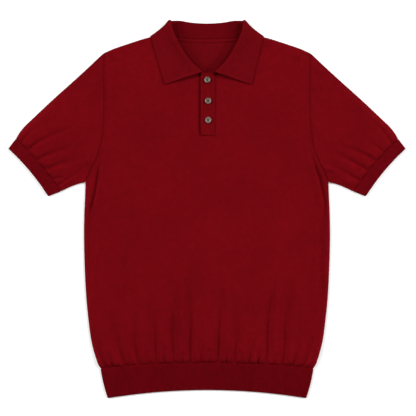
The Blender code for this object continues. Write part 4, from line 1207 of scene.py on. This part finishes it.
def sleeve_relief(side):
    """Height of a sleeve's upper side above the tube's own, by the shares across and along the sleeve."""
    puckers = scatter_puckers(CUFF_PUCKERS, 5, CUFF_WIDTH - 5, 21 if side == "left" else 22)

    def at(across, along, lengths):
        def offset_from(place_on_seam):
            return across * CUFF_WIDTH - place_on_seam

        from_cuff = (1 - along) * lengths
        swollen = puffed(from_cuff, SLEEVE_PUFF_START)
        edges = smooth_step(np.minimum(across, 1 - across) / SLEEVE_PUFF_EDGE)
        total = SLEEVE_PUFF * swollen * smooth_step((along - SLEEVE_PUFF_FROM) / SLEEVE_PUFF_RISE) * edges
        for seam, inner, reach, depth, half_width in SLEEVE_GATHERS[side]:
            inwards = (1 - along) / reach
            middle = seam + (inner - seam) * inwards
            fade = np.clip(1 - inwards, 0, 1) ** 0.7 * groove_start(swollen)
            total = total - depth * fade * edges * crease((across - middle) / half_width)
        total = total + pucker_relief(puckers, from_cuff, offset_from, groove) * edges
        total = total + soft_relief(across, along, SLEEVE_FOLDS[side])
        return np.maximum(total, LOWEST_FRONT - TUBE_HEIGHT) * smooth_step((along * lengths - 2) / 6)

    return at


def bowed(start, end, bow):
    """A shallow arc between two points that curves towards the shirt's middle."""
    start, end = np.array(start, float), np.array(end, float)
    along = (end - start) / np.linalg.norm(end - start)
    inwards = np.array([-along[1], along[0]])
    return spline([start + (end - start) * t + inwards * bow * 4 * t * (1 - t) for t in np.linspace(0, 1, 5)])


def make_sleeve(side, flip, material):
    armhole = aside(ARMHOLE_CURVE, GAP)
    under = spline([armhole(0)[0]] + SLEEVE_UNDER)
    cuff_seam = bowed(SLEEVE_UNDER[-1], SLEEVE_TOP[-1], CUFF_SEAM_BOW)
    surface = patch(armhole, cuff_seam, under, spline([armhole(1)[0]] + SLEEVE_TOP))
    rows = np.concatenate([np.linspace(0, 0.84, 40), np.linspace(0.84, 1, 22)[1:]])
    top, low = (np.linspace(0, 1, count) for count in SLEEVE_COLUMNS)
    name = f"{side}_sleeve"
    return make_tube(name, material, surface, rows, top, low, sleeve_relief(side), flip)


def hem_surface(across, along):
    across, along = np.broadcast_arrays(np.atleast_1d(across) + 0.0, np.atleast_1d(along) + 0.0)
    x_seam = (2 * across - 1) * HEM_SEAM_SIDE[0]
    seam = np.column_stack([x_seam, hem_seam_y(x_seam) - GAP])
    y_edge = HEM_MIDDLE_Y + (HEM_CORNER[1] - HEM_MIDDLE_Y) * (2 * across - 1) ** 2
    edge = np.column_stack([(2 * across - 1) * HEM_CORNER[0], y_edge])
    belly = HEM_BELLY * (2 * across - 1) * 4 * along * (1 - along)
    return seam + (edge - seam) * along[:, None] + np.column_stack([belly, np.zeros_like(belly)])


def cuff_surface(across, along):
    across, along = np.broadcast_arrays(np.atleast_1d(across) + 0.0, np.atleast_1d(along) + 0.0)
    seam = aside(bowed(SLEEVE_UNDER[-1], SLEEVE_TOP[-1], CUFF_SEAM_BOW), GAP)
    edge = bowed(CUFF_LOW, CUFF_TIP, CUFF_SEAM_BOW)
    return seam(across) * (1 - along[:, None]) + edge(across) * along[:, None]


def band_relief(across, along, lengths):
    """The free edge rolls down a little."""
    return -BAND_ROLL[1] * smooth_step(1 - (1 - along) * lengths / BAND_ROLL[0])


def make_band(name, material, surface, ribs, flip):
    """A rib band: its tube, with the ribs raised by their own tree of nodes."""
    rows = np.concatenate([np.linspace(0, 0.94, 14), [0.97, 0.985, 1.0]])
    top, low = np.linspace(0, 1, ribs * RIB_COLUMNS + 1), np.linspace(0, 1, ribs + 1)
    made = make_tube(name, material, surface, rows, top, low, band_relief, flip, RIB_KNIT, ribs)
    return run_tree(made, RAISE_RIBS, {"Rib Height": RIB_HEIGHT * MM, "Material": material})

def make_hem(material):
    return make_band("hem_band", material, hem_surface, HEM_RIBS, 1)


def make_cuff(side, flip, material):
    return make_band(f"{side}_cuff", material, cuff_surface, CUFF_RIBS, flip)


# ---------------------------------------------------------------- collar


def collar_stations():
    """Each station's neck seam, fold and edge in the middle of the wall, its lean, turn and pull."""
    stations = []
    for seam_x, seam_y, fold_x, fold_y, fold_z, edge_x, edge_y, lean, pull in COLLAR_FRONT:
        seam = (seam_x, seam_y, plain_front_height(seam_x, seam_y) - KNIT / 2)
        edge = (edge_x, edge_y, plain_front_height(edge_x, edge_y) + FALL_CLEAR + COLLAR_KNIT / 2)
        stations.append((seam, (fold_x, fold_y, fold_z), edge, lean, 0.0, pull))
    side_edge = COLLAR_SIDE["edge"]
    front_z = {
        "seam": plain_front_height(*COLLAR_SIDE["seam"]) - KNIT / 2,
        "fold": COLLAR_SIDE_FOLD_Z,
        "edge": plain_front_height(*side_edge) + FALL_CLEAR + COLLAR_KNIT / 2,
    }
    reach = {"seam": COLLAR_KNIT / 2, "fold": FOLD_HALF + COLLAR_KNIT / 2, "edge": COLLAR_KNIT / 2}
    for step in range(TURN_STEPS + 1):
        turn = math.pi * step / TURN_STEPS
        lean = TURN_LEAN[0] + (TURN_LEAN[1] - TURN_LEAN[0]) * step / TURN_STEPS
        corners = []
        for key in ("seam", "fold", "edge"):
            radius = (front_z[key] - COLLAR_BACK_Z[key]) / 2
            bulge = min(radius, TURN_REACH)
            way = math.radians(TURN_WAY[key])
            outwards = np.array([math.cos(way), math.sin(way)])
            axis = np.array(COLLAR_SIDE[key]) - outwards * (bulge + reach[key])
            spot = axis + outwards * bulge * math.sin(turn)
            corners.append((*spot, COLLAR_BACK_Z[key] + radius * (1 + math.cos(turn))))
        stations.append((*corners, lean, turn, 0.0))
    for seam_x, seam_y, fold_x, fold_y, edge_x, edge_y, lean in COLLAR_BACK:
        seam = (seam_x, seam_y, COLLAR_BACK_Z["seam"])
        fold = (fold_x, fold_y, COLLAR_BACK_Z["fold"])
        stations.append((seam, fold, (edge_x, edge_y, COLLAR_BACK_Z["edge"]), lean, math.pi, 0.0))
    return stations


def collar_section(station, flip):
    """Points of the middle of the wall from neck seam to outer edge, each with the way to its face side."""
    seam, fold, edge, lean, turn, pull = station
    lean = math.radians(lean)
    up = np.array([-math.sin(lean), math.cos(lean), 0.0])
    out = np.array([math.cos(lean) * math.sin(turn), math.sin(lean) * math.sin(turn), math.cos(turn)])
    centre = np.array(fold) - up * (FOLD_HALF + COLLAR_KNIT / 2)
    stand_top = centre - out * FOLD_HALF
    fall_top = centre + out * FOLD_HALF
    seam, edge = np.array(seam), np.array(edge)
    sag = FALL_SAG * (1 + math.cos(turn)) / 2 * smooth_step((abs(fold[0]) - COLLAR_FRONT[0][2]) / 30)
    points = [(seam, -out), ((seam + stand_top) / 2, -out), (stand_top, -out)]
    for angle in (45, 90, 135):
        way = up * math.sin(math.radians(angle)) - out * math.cos(math.radians(angle))
        points.append((centre + way * FOLD_HALF, way))
    for share in (0.0, 0.25, 0.5, 0.75, 1.0):
        sunk = out * sag * FALL_SINKS[share]
        points.append((fall_top + (edge - fall_top) * share - sunk, out))
    pulls = [pull * SEAM_PULL, pull * (1 + SEAM_PULL) / 2] + [pull] * 4
    pulls += [pull * (1 + (EDGE_PULL - 1) * share) for share in (0.0, 0.25, 0.5, 0.75, 1.0)]
    turned = np.array([flip, 1, 1])
    return [
        np.concatenate([point * turned + (pulled, 0, 0), way * turned])
        for (point, way), pulled in zip(points, pulls)
    ]


def between(knots, counts):
    """Values from knot to knot, this many steps for each, the last knot included."""
    parts = [np.linspace(a, b, count + 1)[:-1] for a, b, count in zip(knots, knots[1:], counts)]
    return np.concatenate(parts + [[knots[-1]]])


def near_ends(shares, reach):
    """The shares with a few more very close to both ends, for a rounded edge."""
    close = np.array([0.12, 0.35, 0.65, 1.0, 1.8, 3.0]) * reach
    return np.unique(np.concatenate([shares, close, 1 - close]))


def collar_grid(sections, stations, around, columns):
    """The middle of the wall and the way to its face side, at every place round the collar and column."""
    rows = []
    for section in sections:
        shares = knot_shares(section[:, :3])
        curve = spline(section, shares, steady=True)
        rows.append(curve([shares[k] + (shares[k + 1] - shares[k]) * step for k, step in columns]))
    lines = np.stack(rows, axis=1)
    grid = np.stack([spline(line, stations, steady=True)(around) for line in lines], axis=1)
    ways = grid[:, :, 3:]
    return grid[:, :, :3], ways / np.linalg.norm(ways, axis=2)[:, :, None]


def collar_skins(grid, normal, around, around_length, back_reach):
    """The wall's face and back, with its rim, neck ridge and rounded edges, and how far each place is
    from the neck seam."""
    steps = np.linalg.norm(np.diff(grid, axis=1), axis=2)
    from_seam = np.concatenate([np.zeros((len(grid), 1)), np.cumsum(steps, axis=1)], axis=1)
    from_edge = from_seam[:, -1:] - from_seam
    from_lead = np.minimum(around, 1 - around)[:, None] * around_length
    to_free = np.minimum(from_edge, from_lead)
    rounded = np.maximum(1 - to_free / COLLAR_ROUND, 0) ** 2
    half_wall = COLLAR_KNIT / 2 * np.sqrt(np.clip(1 - rounded, 0.12, 1))
    behind = smooth_step((back_reach - np.abs(around - 0.5)) / 0.04)[:, None]
    rim = ridge(to_free, *COLLAR_RIM) + ridge(to_free, *COLLAR_HOLLOW)
    rim = rim * (1 - behind) * np.clip(normal[:, :, 2], 0, 1)
    raised = half_wall + rim + ridge(from_seam, *NECK_RIDGE) * behind
    return grid + normal * raised[:, :, None], grid - normal * half_wall[:, :, None], from_seam


def make_collar(material, inside):
    half = collar_stations()
    sections = [collar_section(station, 1) for station in half]
    sections = np.array(sections + [collar_section(station, -1) for station in half[-2::-1]])
    steps = np.linalg.norm(np.diff(sections[:, :, :3], axis=0), axis=2)[:, [3, 8, 10]].mean(axis=1)
    stations = np.concatenate([[0], np.cumsum(steps)])
    around_length = stations[-1]
    stations /= around_length
    counts = np.maximum(np.ceil(steps / COLLAR_STEP), 3).astype(int)
    around = near_ends(between(stations, counts), COLLAR_ROUND / around_length)
    splits = [4] * 2 + [3] * 4 + [7] * 4
    columns = {(k, step) for k, split in enumerate(splits) for step in np.arange(0, 1, 1 / split)}
    columns = sorted(columns | {(9, 1 - share) for share in (0.30, 0.17, 0.085, 0.03, 0.0)})

    grid, normal = collar_grid(sections, stations, around, columns)
    back_reach = 0.5 - stations[len(COLLAR_FRONT) + TURN_STEPS]
    skins = collar_skins(grid, normal, around, around_length, back_reach)
    cloth = Cloth()
    for place_round, face, back, up in zip(around, *skins):
        knit = np.column_stack([np.full(len(columns), place_round * around_length), up])
        cloth.follow(cloth.row(face, back, knit))
    made = cloth.finish("knit_collar", material)
    # the stand's face side takes a darker material: painted shade for its slope away from the light
    made.data.materials.append(inside)
    of_stand = sum(k < 3 for k, _ in columns) - 1
    faces = np.arange(len(made.data.polygons))
    painted_shade_faces = (faces < len(cloth.faces)) & (faces % (len(columns) - 1) < of_stand)
    made.data.polygons.foreach_set("material_index", painted_shade_faces.astype(np.int32))
    return made


# ---------------------------------------------------------------- placket and buttons


def make_placket_upper(material):
    edge_width, edge_drop = BAND_ROUND
    dent_width, dent_depth = BUTTON_DENT
    ribs_in, ribs_end, ribs_up = BAND_RIB_ENDS
    inside = np.linspace(PLACKET_LEFT + edge_width, PLACKET_RIGHT - edge_width, BAND_RIBS * 7 + 1)
    phases = np.concatenate([[0.0, 0.0], np.linspace(0, BAND_RIBS, len(inside)), [0.0, 0.0]])
    x = np.concatenate([[PLACKET_LEFT, PLACKET_LEFT + 0.3], inside, [PLACKET_RIGHT - 0.3, PLACKET_RIGHT]])
    from_side = np.minimum(x - PLACKET_LEFT, PLACKET_RIGHT - x)
    drop = edge_drop * np.maximum(1 - from_side / edge_width, 0) ** 2
    raised = ridge(x, *STITCH_RIDGE) + ridge(x - PLACKET_LEFT, *BAND_WELT)
    curl = BAND_CURL[0] * np.exp(-(((x - PLACKET_LEFT) / BAND_CURL[1]) ** 2))
    ribbed = np.clip(np.minimum(x - PLACKET_LEFT - ribs_in, ribs_end - x), 0, 1)
    y_rows = np.concatenate([[0, 0.3, 0.8, 1.6, 2.6], np.arange(4.0, PLACKET_TOP - PLACKET_BOTTOM - 1, 1.8)])
    cloth = Cloth()
    for y in np.append(PLACKET_BOTTOM + y_rows, PLACKET_TOP):
        from_end = y - PLACKET_BOTTOM
        base = np.max(plain_front_height(x, np.full_like(x, y))) + GAP + curl * smooth_step(from_end / 12)
        end_drop = edge_drop * max(1 - from_end / edge_width, 0) ** 2
        far = [((x - button_x) ** 2 + (y - button_y) ** 2) / dent_width**2 for button_x, button_y in BUTTONS]
        dents = sum(dent_depth * np.exp(-away) for away in far)
        marks = np.column_stack([phases, ribbed * np.clip((from_end - ribs_up) / 1.5, 0, 1)])
        high = path(x, y, base + BAND_KNIT + raised - drop - end_drop - dents)
        cloth.follow(cloth.row(high, path(x, y, base), high[:, :2], marks))
    made = cloth.finish("buttonhole_band", material)
    return run_tree(made, RAISE_RIBS, {"Rib Height": BAND_RIB_HEIGHT * MM, "Material": material})


def make_placket_under(material):
    cloth = Cloth()
    x = np.linspace(SLIT_LEFT + GAP, SLIT_RIGHT - GAP, 13)
    for y in np.linspace(PLACKET_BOTTOM + GAP, UNDER_BAND_TOP, 46):
        high = path(x, y, TUBE_HEIGHT)
        cloth.follow(cloth.row(high, high - (0, 0, KNIT), high[:, :2]))
    return cloth.finish("button_band", material)


def ring_faces(rings, sides):
    """Faces between rings of points, each ring with this many."""
    faces = []
    for first in range(0, (rings - 1) * sides, sides):
        for side in range(sides):
            a, b = first + side, first + (side + 1) % sides
            faces.append((a, b, b + sides, a + sides))
    return faces


def turned_shape(profile, centre, sides):
    """Points and faces of a shape turned about a standing axis, closed at both ends."""
    points = []
    for radius, z in profile:
        for side in range(sides):
            angle = 2 * math.pi * side / sides
            points.append((centre[0] + radius * math.cos(angle), centre[1] + radius * math.sin(angle), z))
    ends = [tuple(range(sides - 1, -1, -1)), tuple(range(len(points) - sides, len(points)))]
    return points, ring_faces(len(profile), sides) + ends


def capsule(start, end, radius, sides=10, rings=4):
    """Points and faces of a thread's end-rounded length."""
    start, end = np.array(start, float), np.array(end, float)
    along = (end - start) / np.linalg.norm(end - start)
    side = np.cross(along, (0.3, 0.2, 1.0))
    side /= np.linalg.norm(side)
    other = np.cross(along, side)
    angles = np.linspace(0, math.pi / 2, rings + 1)[1:]
    stops = [(start - along * radius * math.cos(a), radius * math.sin(a)) for a in angles]
    stops += [(end + along * radius * math.cos(a), radius * math.sin(a)) for a in angles[::-1]]
    points = []
    for middle, reach in stops:
        for step in range(sides):
            turn = 2 * math.pi * step / sides
            points.append(middle + reach * (side * math.cos(turn) + other * math.sin(turn)))
    faces = ring_faces(len(stops), sides)
    first, last = len(points), len(points) + 1
    points += [start - along * radius, end + along * radius]
    top = (len(stops) - 1) * sides
    for step in range(sides):
        onwards = (step + 1) % sides
        faces += [(first, onwards, step), (last, top + step, top + onwards)]
    return points, faces


def make_button(number, centre, horn, thread):
    """A four-hole button with its rim and dish, and the thread that sews it on."""
    base = TUBE_HEIGHT + GAP + BAND_KNIT + BUTTON_SHANK
    profile = [(radius, base + z) for radius, z in BUTTON_TURNING]
    points, faces = turned_shape(profile, centre, 48)
    made = place(f"shirt_button_{number}", points, faces, horn)
    holes = []
    for along in (-1, 1):
        for beside in (-1, 1):
            spot = (centre[0] + beside * HOLE_APART / 2, centre[1] + along * HOLE_APART / 2)
            hole = turned_shape([(HOLE_RADIUS, base - 1), (HOLE_RADIUS, base + 4)], spot, 16)
            holes.append(place("hole", *hole, horn))
    for hole in holes:
        drill = made.modifiers.new("hole", "BOOLEAN")
        drill.operation = "DIFFERENCE"
        drill.solver = "EXACT"
        drill.object = hole
    made = made_plain(made)
    for hole in holes:
        bpy.data.objects.remove(hole)
    thread_points, thread_faces = [], []
    top = base + BUTTON_TURNING[-1][1]
    for beside in (-1, 1):
        hole_x = centre[0] + beside * HOLE_APART / 2
        for strand in (-0.5, 0.5):
            x = hole_x + strand * THREAD_RADIUS * 1.7
            reach = HOLE_APART / 2 + 0.1
            ends = [(x, centre[1] + along * reach, top + THREAD_RADIUS * 0.7) for along in (-1, 1)]
            add_shape(thread_points, thread_faces, capsule(*ends, THREAD_RADIUS))
        for along in (-1, 1):
            y = centre[1] + along * HOLE_APART / 2
            ends = [(hole_x, y, top + 0.1), (hole_x, y, base - BUTTON_SHANK)]
            add_shape(thread_points, thread_faces, capsule(*ends, THREAD_RADIUS * 1.25))
    sewn = place("button_thread", thread_points, thread_faces, thread)
    return joined(made, [sewn])


def add_shape(points, faces, shape):
    first = len(points)
    points += [tuple(point) for point in shape[0]]
    faces += [tuple(corner + first for corner in face) for face in shape[1]]


# ---------------------------------------------------------------- stitches


def above_front(places, lift):
    x, y = places[:, 0], places[:, 1]
    return path(x, y, front_height(x, y) + lift)


def sew_seams(material):
    """The linking stitches along the armholes and the neck, and the placket's topstitching."""
    lines = []
    for flip in (1, -1):
        for distance in (1.6, 2.9):
            seam = aside(ARMHOLE_CURVE, -distance)(np.linspace(0.03, 0.985, 120)) * (flip, 1)
            lines.append(above_front(seam, 0.12))
    armholes = sew("armhole_stitches", lines, LINK_STITCH, material)

    neck = spline([row[:2] for row in COLLAR_BACK])(np.linspace(0, 1, 60))
    neck_x, neck_y = np.concatenate([neck, mirrored(neck[-2::-1])]).T
    height = COLLAR_BACK_Z["seam"] + COLLAR_KNIT / 2 + NECK_RIDGE[2] + 0.05
    lines = [path(neck_x, neck_y + distance, height) for distance in (1.5, 2.8)]
    neckline = sew("neck_stitches", lines, LINK_STITCH, material)

    band_top = TUBE_HEIGHT + GAP + BAND_KNIT
    ridge_x, _, ridge_height = STITCH_RIDGE
    foot = PLACKET_BOTTOM + 2.0
    up = path(ridge_x, np.linspace(foot, PLACKET_TOP - 2.5, 60), band_top + ridge_height + 0.05)
    over = path(np.linspace(PLACKET_LEFT + 2.0, ridge_x, 12), foot, band_top + 0.1)
    placket = sew("placket_stitches", [up, over], TOP_STITCH, material)

    lines = []
    for centre_x, centre_y in BUTTONS:
        y = centre_y + np.linspace(-BUTTONHOLE / 2, BUTTONHOLE / 2, 30)
        lines += [path(centre_x + beside, y, band_top) for beside in (-0.8, 0.8)]
        x = centre_x + np.linspace(-1.5, 1.5, 8)
        end = BUTTONHOLE / 2 + 0.3
        lines += [path(x, bar, band_top + 0.1) for bar in (centre_y - end, centre_y + end)]
    buttonholes = sew("buttonhole_stitches", lines, BUTTONHOLE_STITCH, material)
    return [armholes, neckline, placket, buttonholes]


# ---------------------------------------------------------------- scene


def make_shirt():
    body = knit_material("body_knit", BODY_RED)
    # the knit's reverse side, darker also as painted shade for the inside of the neck
    reverse_and_shade = knit_material("body_knit_reverse_and_shade", REVERSE_AND_SHADE_RED)
    rib = knit_material("rib_knit", RIB_RED, wale=1.4)
    cuff_rib = knit_material("cuff_rib_knit", CUFF_RED, wale=1.4)
    collar_knit = knit_material("collar_knit", COLLAR_RED, wale=1.5, course=1.1)
    # painted shade for the collar's stand
    painted_stand_shade = knit_material("collar_knit_painted_shade", STAND_PAINTED_SHADE_RED, wale=1.5, course=1.1)
    thread = thread_material("red_thread", THREAD_RED)
    dark_thread = thread_material("dark_red_thread", DARK_THREAD_RED)
    horn = horn_material()
    panels = ["front_panel", "back_panel"]
    pieces = [
        # piece, node, slot, flat width and length in metres, flat area, what it lies on
        (make_front(body, reverse_and_shade), "front", "body_knit", (0.500, 0.675), 0.300, ["back_panel"]),
        (make_back(body, reverse_and_shade), "back", "body_knit", (0.500, 0.675), 0.303, ["floor"]),
        (make_sleeve("left", 1, body), "sleeve_left", "body_knit", (0.370, 0.245), 0.056, ["floor"]),
        (make_sleeve("right", -1, body), "sleeve_right", "body_knit", (0.370, 0.245), 0.056, ["floor"]),
        (make_hem(rib), "hem_rib", "rib_knit", (0.830, 0.060), None, ["floor"]),
        (make_cuff("left", 1, cuff_rib), "cuff_left", "rib_knit", (0.260, 0.030), None, ["floor"]),
        (make_cuff("right", -1, cuff_rib), "cuff_right", "rib_knit", (0.260, 0.030), None, ["floor"]),
        (make_collar(collar_knit, painted_stand_shade), "collar", "collar_knit", (0.480, 0.095), 0.0345, panels),
        (make_placket_upper(body), "placket_upper", "body_knit", (0.030, 0.126), None, ["front_panel"]),
        (make_placket_under(body), "placket_under", "body_knit", (0.026, 0.120), None, ["back_panel"]),
    ]
    for made, node, slot, flat, area, under in pieces:
        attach(made, "root")
        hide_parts(node)
    for number, centre in enumerate(BUTTONS, start=1):
        button = make_button(number, centre, horn, dark_thread)
        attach(button, "root")
        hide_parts(f"button_{number}")
    for stitches in sew_seams(thread):
        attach(stitches, "root")


def make_surroundings():
    """A pale, faintly glowing floor, even light from above and a soft lamp at either side."""
    scene = bpy.context.scene
    mesh = bpy.data.meshes.new("floor")
    corners = [(x * FLOOR_REACH, y * FLOOR_REACH, 0) for x, y in ((-1, -1), (1, -1), (1, 1), (-1, 1))]
    mesh.from_pydata(corners, [], [(0, 1, 2, 3)])
    mesh.materials.append(floor_material())
    floor = bpy.data.objects.new("floor", mesh)
    floor.location.z = -0.0002
    scene.collection.objects.link(floor)

    world = bpy.data.worlds.new("studio")
    world.use_nodes = True
    world.node_tree.nodes["Background"].inputs["Color"].default_value = (1.0, 1.0, 1.0, 1.0)
    world.node_tree.nodes["Background"].inputs["Strength"].default_value = SKY_STRENGTH
    scene.world = world

    for name, share, tilt, way, softness in LAMPS:
        tilt, way = math.radians(tilt), math.radians(way)
        lamp = bpy.data.lights.new(name, "AREA")
        lamp.shape = "DISK"
        lamp.size = 2 * LAMP_DISTANCE * math.tan(math.radians(softness / 2))
        lamp.energy = share * (math.pi * LAMP_DISTANCE) ** 2 / math.cos(tilt)
        holder = bpy.data.objects.new(name, lamp)
        holder.rotation_euler = (tilt, 0.0, math.pi - way)
        aim = (math.sin(tilt) * math.sin(way), math.sin(tilt) * math.cos(way), math.cos(tilt))
        holder.location = [LAMP_DISTANCE * part for part in aim]
        scene.collection.objects.link(holder)

    camera = bpy.data.cameras.new("camera")
    camera.sensor_width = CAMERA_SENSOR
    camera.lens = CAMERA_LENS
    holder = bpy.data.objects.new("camera", camera)
    holder.location = CAMERA_PLACE
    scene.collection.objects.link(holder)
    scene.camera = holder
    scene.view_settings.view_transform = "Standard"


make_shirt()
make_surroundings()
